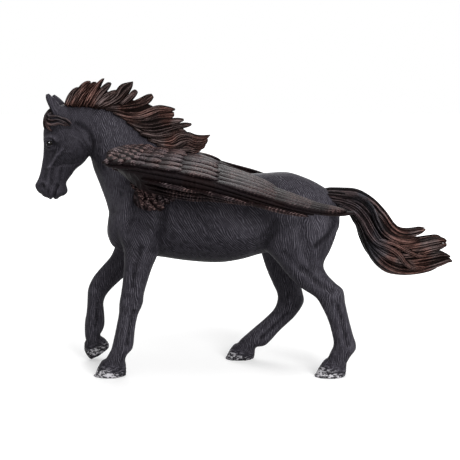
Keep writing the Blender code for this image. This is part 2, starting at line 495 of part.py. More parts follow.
def loft(name, first, second, width, collection, narrowing=0.0, sides=24):
    """A loft with oval sections between two edges, first[i] and second[i], and a half width square to them.
    narrowing makes the section that much narrower at the first edge than in the middle."""
    middle, half = (first + second) / 2, (first - second) / 2
    square = np.cross(np.gradient(middle, axis=0), half)
    square /= np.linalg.norm(square, axis=1)[:, None]
    turn = np.linspace(0, 2 * math.pi, sides, endpoint=False)[None, :, None]
    across = np.cos(turn) * (1 - narrowing * np.sin(turn))
    rings = middle[:, None] + half[:, None] * np.sin(turn) + (square * width[:, None])[:, None] * across
    return skin(name, rings, collection)


def limb(name, rows, collection, narrowing=0.0, steps=4, sides=24):
    """A loft between two outlines seen from the side: x and z of each, then y and half width."""
    rows = smooth_rows(rows, steps)
    return loft(name, rows[:, [0, 4, 1]], rows[:, [2, 4, 3]], rows[:, 5], collection, narrowing, sides)


def strand(name, rows, collection, steps=3, sides=10):
    """A lock, ear or arm along a path: x, z, y, half breadth as seen from the side, half thickness."""
    rows = smooth_rows(rows, steps)
    path = rows[:, [0, 2, 1]]
    ahead = np.gradient(path, axis=0)
    up = np.stack([-ahead[:, 2], np.zeros(len(path)), ahead[:, 0]], axis=1)
    up /= np.linalg.norm(up, axis=1)[:, None]
    breadth = up * rows[:, 3:4]
    return loft(name, path + breadth, path - breadth, rows[:, 4], collection, sides=sides)


def on_midline(rows):
    """The trunk's, neck's and head's rows, with the y of the midline put in."""
    return [(*row[:4], TRUNK_Y, row[4]) for row in rows]


def far_strand(rows):
    """A strand's rows on the other side of the midline."""
    share = np.linspace(0, 1, len(rows))
    back, up = FAR_STRANDS["back"] * share, FAR_STRANDS["up"] * share
    return [(x - b, z + u, -y, half, thick) for (x, z, y, half, thick), b, u in zip(rows, back, up)]


def tail_strands():
    return TAIL + [far_strand(rows) for rows in TAIL if rows[-1][2]]


def new_collection(name, hidden=False):
    collection = bpy.data.collections.new(name)
    bpy.context.scene.collection.children.link(collection)
    collection.hide_render = hidden
    return collection


def fused(name, parts, voxel, collection):
    """One object from overlapping closed ones, with a voxel remesh, and the parts removed."""
    joined = bmesh.new()
    for part in parts:
        joined.from_mesh(part.data)
        bpy.data.objects.remove(part)
    mesh = bpy.data.meshes.new(name)
    joined.to_mesh(mesh)
    joined.free()
    obj = bpy.data.objects.new(name, mesh)
    collection.objects.link(obj)
    remesh = obj.modifiers.new("fuse", "REMESH")
    remesh.mode = "VOXEL"
    remesh.voxel_size = voxel * MM
    return obj


def applied(obj):
    """The object with its modifiers made part of its mesh."""
    graph = bpy.context.evaluated_depsgraph_get()
    mesh = bpy.data.meshes.new_from_object(obj.evaluated_get(graph))
    obj.modifiers.clear()
    obj.data = mesh
    return obj


def modelled(obj, strokes):
    """The object with its skin swelled by SKIN, then raised or grooved along the strokes."""
    count = len(obj.data.vertices)
    points, normals = np.empty(count * 3), np.empty(count * 3)
    obj.data.vertices.foreach_get("co", points)
    obj.data.vertex_normals.foreach_get("vector", normals)
    points, normals = points.reshape(-1, 3) / MM, normals.reshape(-1, 3)
    rise = np.full(count, SKIN)
    for side, reach, height, path in strokes:
        spots = smooth_rows(path, 8) if len(path) > 1 else np.array(path)
        gap = np.full(count, np.inf)
        for x, z in spots:
            gap = np.minimum(gap, (points[:, 0] - x) ** 2 + (points[:, 2] - z) ** 2)
        facing = np.abs(normals[:, 1]) * (side * points[:, 1] >= 0)
        rise += height * facing * np.exp(-gap / reach**2)
    obj.data.vertices.foreach_set("co", ((points + normals * rise[:, None]) * MM).ravel())
    return obj


def horse_body(collection):
    parts = [
        limb("trunk", on_midline(TRUNK), collection, narrowing=0.18),
        limb("neck", on_midline(NECK), collection, narrowing=0.28),
        limb("head", on_midline(HEAD), collection, narrowing=-0.12),
        limb("left_fore", LEFT_FORE, collection),
        limb("right_fore", RIGHT_FORE, collection),
        limb("right_hind", RIGHT_HIND, collection),
        limb("left_hind", LEFT_HIND, collection),
    ]
    body = fused("body", parts, BODY_VOXEL, collection)
    smooth = body.modifiers.new("soften", "SMOOTH")
    smooth.factor = 0.5
    smooth.iterations = BODY_SMOOTHING
    return modelled(applied(body), STROKES)


def hooves(collection):
    return [limb(f"hoof_{i}", rows, collection, steps=2, sides=16) for i, rows in enumerate(HOOVES)]


def mane(collection):
    """A thin fin, and every lock laid once on each side of it, leaning out at the root and in at the tip."""
    locks = [limb("mane_core", on_midline(MANE_CORE), collection)]
    for i, rows in enumerate(MANE):
        last = len(rows) - 1
        spread = MANE_SPREAD + LOCK_STEP * (i % 2)
        for side in (-1, 1):
            lean = [side * spread * (1 - 0.95 * k / last) for k in range(last + 1)]
            thick = [LOCK_THICKNESS * (1 - 0.7 * k / last) for k in range(last + 1)]
            path = [(x, z, y, half, t) for (x, z, half), y, t in zip(rows, lean, thick)]
            locks.append(strand(f"lock_{i}_{side}", path, collection))
    return locks


def face_point(rows, x, across, up, swell=0.0):
    """A point on a wing loft's upper (up = 1) or lower (up = -1) face, this share of the way across it."""
    rows = np.array(rows)
    along = rows[:, 0] * (1 - across) + rows[:, 3] * across
    edges = [np.interp(x, along, rows[:, k]) for k in range(7)]
    y = edges[1] * (1 - across) + edges[4] * across
    z = edges[2] * (1 - across) + edges[5] * across
    thick = edges[6] * 2 * math.sqrt(across * (1 - across)) * (1 + swell * (1 - 2 * across))
    return np.array([x, y, z + up * thick])


def feather(name, points, half, thickness, collection):
    """A flat blade with a round tip along a path, its breadth across the wing."""
    path = smooth_rows(points, 3)
    t = np.linspace(0, 1, len(path))
    shape = np.sqrt(np.clip(1 - ((t - 0.45) / 0.56) ** 2, 0, None)) + 0.08
    ahead = np.gradient(path, axis=0)
    breadth = np.cross(ahead, (0, -0.1, 1))
    breadth *= (half * shape / np.linalg.norm(breadth, axis=1))[:, None]
    return loft(name, path + breadth, path - breadth, thickness * shape, collection, sides=10)


def feather_row(name, row, rows, up, collection, swell=0.0):
    """Feathers side by side on one face of a wing loft, roots sunk in it and tips standing off it."""
    inner, outer = row["across"]
    feathers = []
    for k in range(row["number"]):
        across = inner + (outer - inner) * (k + 0.5) / row["number"]
        start = row["start"][0] * (1 - across) + row["start"][1] * across
        path = []
        for t, lift in ((0, -0.6), (0.35, -0.1), (0.7, 0.3), (1, 0.5)):
            point = face_point(rows, start + row["length"] * t, across, up, swell)
            path.append(point + (0, 0, up * lift * FEATHER_LIFT))
        feathers.append(feather(f"{name}_{k}", path, row["half"], FEATHER_THICKNESS, collection))
    return feathers


def wing_loft(name, rows, collection, swell=0.0):
    rows = smooth_rows(rows, 3)
    return loft(name, rows[:, :3], rows[:, 3:6], rows[:, 6], collection, narrowing=-swell)


def left_wing(collection):
    parts = [wing_loft("blade", WING, collection), wing_loft("root", WING_ROOT, collection, ROOT_SWELL)]
    parts.append(strand("arm", WING_ARM, collection, sides=16))
    for r, row in enumerate(UPPER_FEATHERS):
        parts += feather_row(f"upper_{r}", row, WING, 1, collection)
    for r, row in enumerate(LOWER_FEATHERS):
        parts += feather_row(f"lower_{r}", row, WING_ROOT, -1, collection, ROOT_SWELL)
    for k, (x0, z0, y0, x1, z1, y1, half) in enumerate(TUFT):
        path = [(x0, y0, z0), ((x0 + x1) / 2, (y0 + y1) / 2 - 1.0, (z0 + z1) / 2), (x1, y1, z1)]
        parts.append(feather(f"tuft_{k}", path, half, TUFT_THICKNESS, collection))
    return parts


def both_wings(collection):
    wings = fused("wings", left_wing(collection), FIGURE_VOXEL, collection)
    mirror = wings.modifiers.new("right_wing", "MIRROR")
    mirror.use_axis = (False, True, False)
    mirror.use_mirror_merge = False
    return applied(wings)


def one_skin(obj):
    """Keeps the outer skin alone, without the walls of bubbles left inside the solid."""
    solid = bmesh.new()
    solid.from_mesh(obj.data)
    left = set(solid.verts)
    skins = []
    while left:
        found = {left.pop()}
        edge_of_search = set(found)
        while edge_of_search:
            edge_of_search = {e.other_vert(v) for v in edge_of_search for e in v.link_edges} - found
            found |= edge_of_search
        left -= found
        skins.append(found)
    skins.sort(key=len)
    bubbles = [vert for skin_verts in skins[:-1] for vert in skin_verts]
    bmesh.ops.delete(solid, geom=bubbles, context="VERTS")
    solid.to_mesh(obj.data)
    solid.free()


def thin_out(obj, triangles):
    """Cuts the mesh down to this many triangles, which go where the skin bends most."""
    faces = sum(len(face.vertices) - 2 for face in obj.data.polygons)
    fewer = obj.modifiers.new("fewer", "DECIMATE")
    fewer.ratio = triangles / faces
    fewer.use_collapse_triangulate = True
    applied(obj)


def stand_on_floor(obj):
    """Cuts the figure flat at the floor, so that each sole is a true plane, and sets it down on z = 0."""
    solid = bmesh.new()
    solid.from_mesh(obj.data)
    geometry = solid.verts[:] + solid.edges[:] + solid.faces[:]
    level = Vector((0, 0, FLOOR * MM))
    bmesh.ops.bisect_plane(solid, geom=geometry, plane_co=level, plane_no=(0, 0, 1), clear_inner=True)
    rim = [edge for edge in solid.edges if edge.is_boundary]
    bmesh.ops.edgeloop_fill(solid, edges=rim)
    bmesh.ops.recalc_face_normals(solid, faces=solid.faces)
    bmesh.ops.triangulate(solid, faces=solid.faces)
    bmesh.ops.translate(solid, vec=-level, verts=solid.verts)
    solid.to_mesh(obj.data)
    solid.free()


def painted(obj, name, colour, roughness):
    """The object with its paint: a Principled material."""
    paint = bpy.data.materials.new(name)
    paint.use_nodes = True
    shader = paint.node_tree.nodes["Principled BSDF"]
    shader.inputs["Base Color"].default_value = (*colour, 1)
    shader.inputs["Roughness"].default_value = roughness
    shader.inputs["Metallic"].default_value = 0
    obj.data.materials.clear()
    obj.data.materials.append(paint)


def main():
    for obj in list(bpy.data.objects):
        bpy.data.objects.remove(obj)
    figure = new_collection("pegasus_figurine")
    parts = [horse_body(figure), *hooves(figure), both_wings(figure), *mane(figure)]
    parts += [strand(f"ear_{i}", rows, figure) for i, rows in enumerate(EARS)]
    parts += [strand(f"forelock_{i}", rows, figure) for i, rows in enumerate(FORELOCK)]
    parts.append(limb("tail_core", on_midline(TAIL_CORE), figure))
    parts += [strand(f"tail_{i}", rows, figure, sides=12) for i, rows in enumerate(tail_strands())]
    whole = applied(fused("pegasus_figurine", parts, FIGURE_VOXEL, figure))
    one_skin(whole)
    thin_out(whole, TRIANGLES)
    stand_on_floor(whole)
    painted(whole, "dry_brushed_charcoal", (0.045, 0.042, 0.046), 0.55)


main()
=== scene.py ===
# %% [markdown]
# # Winged horse figurine
#
# The figurine is one painted casting. This script models it as a sculptor would: soft body masses first,
# then the muscles pressed into them, then hair and feathers laid on one by one. All shapes are rows of real
# sizes in millimetres, read in a side view, and functions turn the rows into surfaces. The horse faces -X,
# its left side is towards -Y, and +Z is up.

import json
import math

import bmesh
import bpy
import numpy as np
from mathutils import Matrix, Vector

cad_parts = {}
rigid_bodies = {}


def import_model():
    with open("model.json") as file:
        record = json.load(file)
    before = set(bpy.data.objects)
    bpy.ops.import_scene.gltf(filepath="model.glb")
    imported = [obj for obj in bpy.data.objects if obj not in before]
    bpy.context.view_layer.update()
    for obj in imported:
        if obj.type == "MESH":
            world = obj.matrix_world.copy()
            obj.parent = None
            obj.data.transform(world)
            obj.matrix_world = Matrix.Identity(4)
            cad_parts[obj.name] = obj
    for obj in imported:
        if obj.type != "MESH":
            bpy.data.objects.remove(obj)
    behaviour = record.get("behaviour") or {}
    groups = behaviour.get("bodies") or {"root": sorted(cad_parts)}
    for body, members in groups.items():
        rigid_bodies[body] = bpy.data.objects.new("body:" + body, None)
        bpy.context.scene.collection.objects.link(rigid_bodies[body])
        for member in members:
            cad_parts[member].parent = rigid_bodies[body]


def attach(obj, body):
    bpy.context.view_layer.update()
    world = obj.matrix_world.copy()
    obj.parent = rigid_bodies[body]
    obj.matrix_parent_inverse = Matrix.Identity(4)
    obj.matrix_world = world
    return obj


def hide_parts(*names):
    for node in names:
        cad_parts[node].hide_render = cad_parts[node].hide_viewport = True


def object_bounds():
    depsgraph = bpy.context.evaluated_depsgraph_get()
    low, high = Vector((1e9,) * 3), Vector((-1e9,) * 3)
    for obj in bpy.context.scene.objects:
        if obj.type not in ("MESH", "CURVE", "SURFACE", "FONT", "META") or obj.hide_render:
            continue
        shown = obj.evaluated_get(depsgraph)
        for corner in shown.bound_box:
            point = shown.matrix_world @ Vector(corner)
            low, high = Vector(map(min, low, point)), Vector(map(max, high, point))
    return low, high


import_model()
cad_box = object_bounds()
MM = 0.001
FLOOR = 0.6  # height of the floor in the side view that the rows are drawn in
NODE = "pegasus_figurine"
rng = np.random.default_rng(7)
print("CAD box in mm:", [[round(v / MM, 1) for v in corner] for corner in cad_box])

# %% [markdown]
# ## Surfaces from rows
#
# Nearly every form here is a loft: an oval slides along a path and changes its size on the way. The path and
# the sizes are given at a few stations, and a Catmull-Rom curve runs through them, so a few typed numbers
# give a smooth form that is easy to correct. Arrays hold whole surfaces at once, which keeps the code short
# and quick.

# %% Loft tools


def smooth_rows(rows, steps):
    """More rows on a Catmull-Rom curve: p(t) = (2b + (c-a)t + (2a-5b+4c-d)t^2 + (3b-a-3c+d)t^3) / 2."""
    rows = np.array(rows, float)
    ends = np.vstack([2 * rows[0] - rows[1], rows, 2 * rows[-1] - rows[-2]])
    t = np.arange(steps)[:, None] / steps
    spans = []
    for a, b, c, d in zip(ends, ends[1:], ends[2:], ends[3:]):
        cubic = 2 * b + (c - a) * t + (2 * a - 5 * b + 4 * c - d) * t**2
        spans.append((cubic + (3 * b - a - 3 * c + d) * t**3) / 2)
    return np.vstack(spans + [rows[-1:]])


def unit(vectors):
    """Vectors of length 1: v / |v|."""
    return vectors / np.maximum(np.linalg.norm(vectors, axis=-1, keepdims=True), 1e-9)


def rings(first, second, width, sides=24, narrowing=0.0, swell=1.0):
    """Ovals between two edges, with square at right angles to the path and to the line between the edges:
    point = middle + swell (half sin a + square width cos a (1 - narrowing sin a))."""
    middle, half = (first + second) / 2, (first - second) / 2
    square = unit(np.cross(np.gradient(middle, axis=0), half)) * np.asarray(width)[:, None]
    a = np.linspace(0, 2 * math.pi, sides, endpoint=False)[None, :, None]
    oval = half[:, None] * np.sin(a) + square[:, None] * np.cos(a) * (1 - narrowing * np.sin(a))
    return middle[:, None] + swell * oval


def skin(grid, **marks):
    """A closed surface over grid[ring, side]: quads between rings and a fan of triangles at each end.
    marks are values per grid point, and the end points take the mean of their ring."""
    count, sides = grid.shape[:2]
    corner = np.arange(count * sides).reshape(count, sides)
    after = np.roll(corner, -1, axis=1)
    quads = np.stack([corner[:-1], after[:-1], after[1:], corner[1:]], axis=-1).reshape(-1, 4)
    poles = count * sides, count * sides + 1
    caps = [np.stack([np.full(sides, poles[0]), after[0], corner[0]], axis=1)]
    caps.append(np.stack([np.full(sides, poles[1]), corner[-1], after[-1]], axis=1))
    points = np.vstack([grid.reshape(-1, 3), grid[0].mean(axis=0), grid[-1].mean(axis=0)])
    shell = {"points": points, "quads": quads, "triangles": np.vstack(caps), "marks": {}}
    for key, value in marks.items():
        value = np.broadcast_to(value, (count, sides)).astype(float)
        shell["marks"][key] = np.concatenate([value.ravel(), [value[0].mean(), value[-1].mean()]])
    return outward(shell)


def outward(shell):
    """The shell with its faces turned outwards: the sum of p . (q x r) over its triangles is positive."""
    p, q, r = (shell["points"][shell["quads"][:, k]] for k in (0, 1, 2))
    p2, q2, r2 = (shell["points"][shell["quads"][:, k]] for k in (0, 2, 3))
    volume = np.einsum("ij,ij->", p, np.cross(q, r)) + np.einsum("ij,ij->", p2, np.cross(q2, r2))
    if volume < 0:
        shell["quads"], shell["triangles"] = shell["quads"][:, ::-1], shell["triangles"][:, ::-1]
    return shell


def mirrored(shell):
    """The shell seen in the plane y = 0."""
    return {
        "points": shell["points"] * (1, -1, 1),
        "quads": shell["quads"][:, ::-1],
        "triangles": shell["triangles"][:, ::-1],
        "marks": shell["marks"],
    }


def in_metres(points):
    """Points of the side view in metres, with the floor at z = 0 and none outside the CAD's box."""
    return np.clip((points - (0, 0, FLOOR)) * MM, cad_box[0], cad_box[1])


def piece(name, shells, material):
    """One object from closed shells in the side view's millimetres, with their marks as point attributes."""
    starts = np.cumsum([0] + [len(shell["points"]) for shell in shells])
    points = np.vstack([shell["points"] for shell in shells])
    faces = []
    for start, shell in zip(starts, shells):
        faces += (shell["quads"] + start).tolist() + (shell["triangles"] + start).tolist()
    mesh = bpy.data.meshes.new(name)
    mesh.from_pydata(in_metres(points).tolist(), [], faces)
    for key in shells[0]["marks"]:
        values = np.concatenate([shell["marks"][key] for shell in shells])
        mesh.attributes.new(key, "FLOAT", "POINT").data.foreach_set("value", values.astype(np.float32))
    mesh.polygons.foreach_set("use_smooth", np.ones(len(mesh.polygons), bool))
    mesh.materials.append(material)
    obj = bpy.data.objects.new(name, mesh)
    bpy.context.scene.collection.objects.link(obj)
    return obj


def placed(obj):
    """The finished piece, riding on the one body and painted from its slot."""
    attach(obj, "root")
    size = np.array(obj.dimensions) / MM
    print(f"{obj.name}: {len(obj.data.polygons)} faces, {size[0]:.1f} x {size[1]:.1f} x {size[2]:.1f} mm")


# %% [markdown]
# ## Paint
#
# The casting is painted nearly black and then dry-brushed: a brush with little paint on it is dragged over
# the relief, so only the ridges catch the lighter colour and the grooves stay dark. The node group below does
# the same. It takes a mask that is 1 on ridges and 0 in grooves, breaks it up with grain, and mixes the
# colours.

# %% Node tools


def new_group(name, inputs, outputs):
    """An empty node group with these sockets: {name: (type, default)} in, {name: type} out."""
    group = bpy.data.node_groups.new(name, "ShaderNodeTree")
    for key, (kind, default) in inputs.items():
        socket = group.interface.new_socket(key, in_out="INPUT", socket_type=kind)
        if default is not None:
            socket.default_value = default
    for key, kind in outputs.items():
        group.interface.new_socket(key, in_out="OUTPUT", socket_type=kind)
    return group, group.nodes.new("NodeGroupInput").outputs, group.nodes.new("NodeGroupOutput").inputs


class Nodes:
    """Short names for the nodes of one tree. Each method adds a node and returns its output socket."""

    def __init__(self, tree):
        self.tree = tree

    def add(self, kind, inputs=None, **settings):
        node = self.tree.nodes.new(kind)
        for key, value in settings.items():
            setattr(node, key, value)
        for key, value in (inputs or {}).items():
            if isinstance(value, bpy.types.NodeSocket):
                self.tree.links.new(value, node.inputs[key])
            else:
                node.inputs[key].default_value = value
        return node

    def math(self, operation, *values):
        return self.add("ShaderNodeMath", dict(enumerate(values)), operation=operation).outputs[0]

    def mix(self, factor, a, b, blend="MIX"):
        """The colour a where factor is 0 and b where it is 1."""
        node = self.add("ShaderNodeMix", {0: factor, 6: a, 7: b}, data_type="RGBA", blend_type=blend)
        return node.outputs[2]

    def between(self, factor, a, b):
        """The number a where factor is 0 and b where it is 1."""
        return self.add("ShaderNodeMix", {0: factor, 2: a, 3: b}).outputs[0]

    def place(self):
        """The point in the object's own coordinates, in metres."""
        return self.add("ShaderNodeTexCoord").outputs["Object"]

    def noise(self, vector, scale, detail=2.0, rough=0.5):
        inputs = {"Vector": vector, "Scale": scale, "Detail": detail, "Roughness": rough}
        return self.add("ShaderNodeTexNoise", inputs).outputs[0]

    def ramp(self, value, low, high):
        """0 below low, 1 above high, smooth between."""
        inputs = {0: value, 1: low, 2: high, 3: 0.0, 4: 1.0}
        return self.add("ShaderNodeMapRange", inputs, interpolation_type="SMOOTHSTEP").outputs[0]

    def mark(self, name):
        return self.add("ShaderNodeAttribute", attribute_name=name).outputs["Fac"]

    def vector(self, x, y, z):
        return self.add("ShaderNodeCombineXYZ", {0: x, 1: y, 2: z}).outputs[0]

    def scaled(self, vector, scale):
        return self.add("ShaderNodeVectorMath", {0: vector, 1: scale}, operation="MULTIPLY").outputs[0]

    def stretched(self, vector, scale, turn=0.0):
        """vector turned about Y by turn and scaled per axis."""
        turned = self.add("ShaderNodeVectorRotate", {0: vector, 3: turn}, rotation_type="Y_AXIS").outputs[0]
        return self.scaled(turned, scale)


def dry_brush_group():
    """Dark in grooves, base between, and light where ridge + 0.55 (grain - 0.5) passes 1.05 - amount."""
    colour, number = "NodeSocketColor", "NodeSocketFloat"
    inputs = {
        "Dark": (colour, (0.005, 0.005, 0.005, 1)),
        "Base": (colour, (0.05, 0.05, 0.05, 1)),
        "Light": (colour, (0.2, 0.2, 0.2, 1)),
        "Ridge": (number, 0.5),
        "Grain": (number, 0.5),
        "Amount": (number, 0.5),
    }
    group, given, result = new_group("dry_brush", inputs, {"Colour": colour, "Roughness": number})
    n = Nodes(group)
    broken = n.math("ADD", given["Ridge"], n.math("MULTIPLY", n.math("SUBTRACT", given["Grain"], 0.5), 0.55))
    body = n.mix(n.ramp(broken, 0.18, 0.52), given["Dark"], given["Base"])
    level = n.math("SUBTRACT", 1.05, given["Amount"])
    caught = n.ramp(n.math("SUBTRACT", broken, level), -0.10, 0.32)
    group.links.new(n.mix(caught, body, given["Light"]), result["Colour"])
    group.links.new(n.math("ADD", 0.46, n.math("MULTIPLY", caught, 0.22)), result["Roughness"])
    return group


DRY_BRUSH = dry_brush_group()
GLOSS = 0.03  # matt paint shows hardly any of the plain specular reflection
TINT_SCALE = 110.0  # patches of tint per metre


def paint(name, colours, amount, ridge_and_grain, bump, second=None, share=None, tints=None):
    """A material: ridge_and_grain(n) returns the ridge mask, the grain and the height of the fine relief,
    which is bump metres high. second is another set of colours, which comes in where the mark named share
    falls from 1 to 0. tints are two colours that the paint is multiplied by, in patches about 10 mm wide."""
    material = bpy.data.materials.new(name)
    material.use_nodes = True
    n = Nodes(material.node_tree)
    shader = material.node_tree.nodes["Principled BSDF"]
    ridge, grain, height = ridge_and_grain(n)
    brushed = n.add("ShaderNodeGroup", node_tree=DRY_BRUSH)
    for k, key in enumerate(("Dark", "Base", "Light")):
        brushed.inputs[key].default_value = (*colours[k], 1)
        if second:
            tone = n.mix(n.mark(share), (*second[k], 1), (*colours[k], 1))
            n.tree.links.new(tone, brushed.inputs[key])
    brushed.inputs["Amount"].default_value = amount
    n.tree.links.new(ridge, brushed.inputs["Ridge"])
    n.tree.links.new(grain, brushed.inputs["Grain"])
    colour = brushed.outputs["Colour"]
    if tints:
        patches = n.ramp(n.noise(n.place(), TINT_SCALE, 2.0), 0.40, 0.62)
        tint = n.mix(patches, (*tints[0], 1), (*tints[1], 1))
        colour = n.mix(1.0, colour, tint, "MULTIPLY")
    n.tree.links.new(colour, shader.inputs["Base Color"])
    n.tree.links.new(brushed.outputs["Roughness"], shader.inputs["Roughness"])
    relief = n.add("ShaderNodeBump", {"Height": height, "Distance": bump, "Strength": 1.0})
    n.tree.links.new(relief.outputs[0], shader.inputs["Normal"])
    shader.inputs["Specular IOR Level"].default_value = GLOSS
    return material


# %% [markdown]
# ## Coat paint
#
# The short coat is combed into the casting as thousands of fine strokes that follow the way the hair lies:
# down the face, along the neck, back over the barrel and down the legs. The strokes are the sine of the
# distance across the hair, bent by one noise and cut up by another. Five patches with different directions
# are mixed by masks stored on the mesh. Lines turn wide and wavy where they meet the skin flat on, so there
# are two families that lean opposite ways, and each part of the skin shows the one that crosses it steeply.
# The horn of the hooves has level scratches. Spots of painted light and painted shade make single places
# lighter or darker, and faces that turn down are painted darker as shade.

# %% Coat material
# How the hair lies in each patch: its turn about Y in radians, then the strokes' length and spacing in mm
HAIR = {
    "trunk": (-1.05, 2.8, 0.86),
    "neck": (-1.50, 2.2, 0.74),
    "haunch": (-1.45, 3.2, 0.88),
    "leg": (-1.52, 3.0, 0.80),
    "face": (-1.20, 2.0, 0.66),
}
OVER_TRUNK = "neck", "haunch", "leg", "face"  # the patches that cover the trunk's, in this order
LINE_LEAN = 0.8  # how much the lines count y beside their own direction across the hair
WANDER = 3.2  # how far the lines are bent, in spacings
FACE_STROKES = 0.55  # how much the strokes count on the face, against 1 elsewhere
SCRATCH_SCALE = (620.0, 620.0, 1600.0)  # scratches per metre on the horn: long on the level, thin in height
# What these add to the ridge mask: the modelled relief, the strokes, the wear and the rubbed horn
RELIEF_SHARE, STROKE_SHARE, WORN_SHARE, RUBBED_SHARE = 0.60, 0.47, 0.14, 0.30


def combed(n, place, turn, length, spacing):
    """Thin lines of hair: the sine of (across / spacing + wander), cut up where a noise stretched along the
    hair is low."""
    in_mm = n.stretched(place, (1 / MM, 1 / MM, 1 / MM), turn)
    wander = n.math("MULTIPLY", n.noise(n.scaled(in_mm, (0.16, 0.30, 0.30)), 1.0, 1.0), WANDER)
    lines = []
    for lean in (-LINE_LEAN, LINE_LEAN):
        across = n.add("ShaderNodeVectorMath", {0: in_mm, 1: (0.0, lean, 1.0)}, operation="DOT_PRODUCT")
        turns = n.math("ADD", n.math("DIVIDE", across.outputs["Value"], spacing), wander)
        lines.append(n.ramp(n.math("SINE", n.math("MULTIPLY", turns, 2 * math.pi)), -0.30, 1.0))
    kept = n.ramp(n.noise(n.scaled(in_mm, (1 / length, 1.1, 1.1)), 1.0, 0.0), 0.30, 0.56)
    shown = n.math("ADD", 0.35, n.math("MULTIPLY", kept, 0.65))
    return n.math("MULTIPLY", n.between(n.mark("leaning"), *lines), shown)


def coat_strokes(n):
    """Ridge, grain and height of the coat: combed lines in five patches, and level scratches on the horn."""
    place = n.place()
    patches = {patch: combed(n, place, *lie) for patch, lie in HAIR.items()}
    strokes = patches["trunk"]
    for patch in OVER_TRUNK:
        strokes = n.between(n.mark(patch), strokes, patches[patch])
    worn = n.noise(place, 60.0, 3.0, 0.6)
    scratches = n.noise(n.stretched(place, SCRATCH_SCALE), 1.0, 3.0, 0.65)
    sharp = n.between(n.mark("horn"), strokes, n.ramp(scratches, 0.42, 0.62))
    faint = n.math("ADD", n.math("MULTIPLY", n.math("SUBTRACT", sharp, 0.3), FACE_STROKES), 0.3)
    sharp = n.between(n.mark("face"), sharp, faint)
    relief = n.math("MULTIPLY", n.mark("raised"), RELIEF_SHARE)
    ridge = n.math("ADD", relief, n.math("ADD", 0.02, n.math("MULTIPLY", sharp, STROKE_SHARE)))
    ridge = n.math("ADD", ridge, n.math("MULTIPLY", n.math("SUBTRACT", worn, 0.5), WORN_SHARE))
    rubbed = n.math("MULTIPLY", n.ramp(worn, 0.35, 0.60), RUBBED_SHARE)
    rubbed = n.math("MULTIPLY", n.mark("scuffed"), rubbed)
    # Painted light and shade: lighter spots where light falls, darker spots in creases and shaded places,
    # darker paint on faces that turn down
    ridge = n.math("ADD", ridge, n.math("ADD", rubbed, n.mark("dabbed")))
    return ridge, n.noise(place, 2600.0, 2.0, 0.6), sharp

# Dark, base and light colour of each paint
CHARCOAL = (0.0098, 0.0090, 0.0116), (0.0375, 0.0345, 0.0430), (0.106, 0.100, 0.119)
HORN = (0.0070, 0.0066, 0.0078), (0.024, 0.0225, 0.0265), (0.560, 0.545, 0.575)
coat_paint = paint("coat_paint", HORN, 0.42, coat_strokes, bump=0.00010, second=CHARCOAL, share="scuffed")
print("coat patches:", ", ".join(HAIR))

# %% [markdown]
# ## Hair and feather paint
#
# A lock carries its own coordinates: how far along it a point is, how far around, and how high its ridge
# stands. Hair lines made from those coordinates follow every curl of the lock. Feathers work the same way,
# with barbs that slant away from the quill.

# %% Hair and feather materials
STRAND_LENGTH = 6.0  # millimetres along a lock before its fine lines change
STRANDS_AROUND = 26.0  # how often the fine lines change around one half of a lock
BARB_SPACING = 1.25  # millimetres between the grooves of a feather
BARB_SLANT = 0.55  # how far along the feather a barb runs for each millimetre across
BARB_WANDER = 2.4  # how far the barbs are bent, in spacings


def hair_lines(n):
    """Ridge, grain and height of hair: noise of (along / strand length, around x strands around)."""
    around = n.math("MULTIPLY", n.mark("around"), STRANDS_AROUND)
    along = n.math("DIVIDE", n.mark("along"), STRAND_LENGTH)
    sharp = n.ramp(n.noise(n.vector(along, around, n.mark("tone")), 1.0, 3.0, 0.6), 0.38, 0.62)
    ridge = n.math("MULTIPLY", n.mark("ridge"), n.math("ADD", 0.36, n.math("MULTIPLY", sharp, 0.76)))
    return ridge, n.noise(n.place(), 1800.0, 2.0, 0.6), sharp


def barb_lines(n):
    """Ridge, grain and height of a feather: the sine of (along + slant |across|) / spacing + wander, broken
    by noise."""
    across = n.mark("across")
    slant = n.math("ADD", n.mark("along"), n.math("MULTIPLY", n.math("ABSOLUTE", across), BARB_SLANT))
    coarse = n.vector(n.math("MULTIPLY", slant, 0.35), n.math("MULTIPLY", across, 0.6), n.mark("tone"))
    broken = n.noise(coarse, 1.0, 2.0, 0.6)
    turns = n.math("ADD", n.math("DIVIDE", slant, BARB_SPACING), n.math("MULTIPLY", broken, BARB_WANDER))
    line = n.ramp(n.math("SINE", n.math("MULTIPLY", turns, 2 * math.pi)), -0.3, 0.9)
    sharp = n.math("MULTIPLY", line, n.ramp(broken, 0.30, 0.55))
    ridge = n.math("MULTIPLY", n.mark("ridge"), n.math("ADD", 0.48, n.math("MULTIPLY", sharp, 0.90)))
    return ridge, n.noise(n.place(), 1500.0, 2.0, 0.6), sharp


BROWN_HAIR = (0.0045, 0.0026, 0.0022), (0.038, 0.0235, 0.0212), (0.230, 0.160, 0.148)
BLACK_HAIR = (0.0040, 0.0038, 0.0045), (0.024, 0.0225, 0.0265), (0.100, 0.094, 0.106)
HAIR_TINTS = (1.12, 0.86, 0.78), (0.88, 0.94, 0.98)
hair_paint = paint("hair_paint", BROWN_HAIR, 0.44, hair_lines, 0.00016, BLACK_HAIR, "warm", HAIR_TINTS)
FEATHER_BROWN = (0.0072, 0.0050, 0.0054), (0.062, 0.0455, 0.0465), (0.225, 0.182, 0.180)
FEATHER_TINTS = (1.12, 0.92, 0.88), (0.96, 0.93, 0.98)
feather_paint = paint("feather_paint", FEATHER_BROWN, 0.46, barb_lines, bump=0.00016, tints=FEATHER_TINTS)
print("paints:", ", ".join(material.name for material in (coat_paint, hair_paint, feather_paint)))

# %% [markdown]
# ## Body masses
#
# The body is eleven lofts that overlap: trunk, neck, head, four legs and four hooves. A voxel remesh fuses
# them into one skin, and smoothing gives the soft joins that flesh has. It is easier to correct than one long
# loft, because each mass keeps its own outline. The sole of a standing hoof passes the floor and is cut flat
# later.

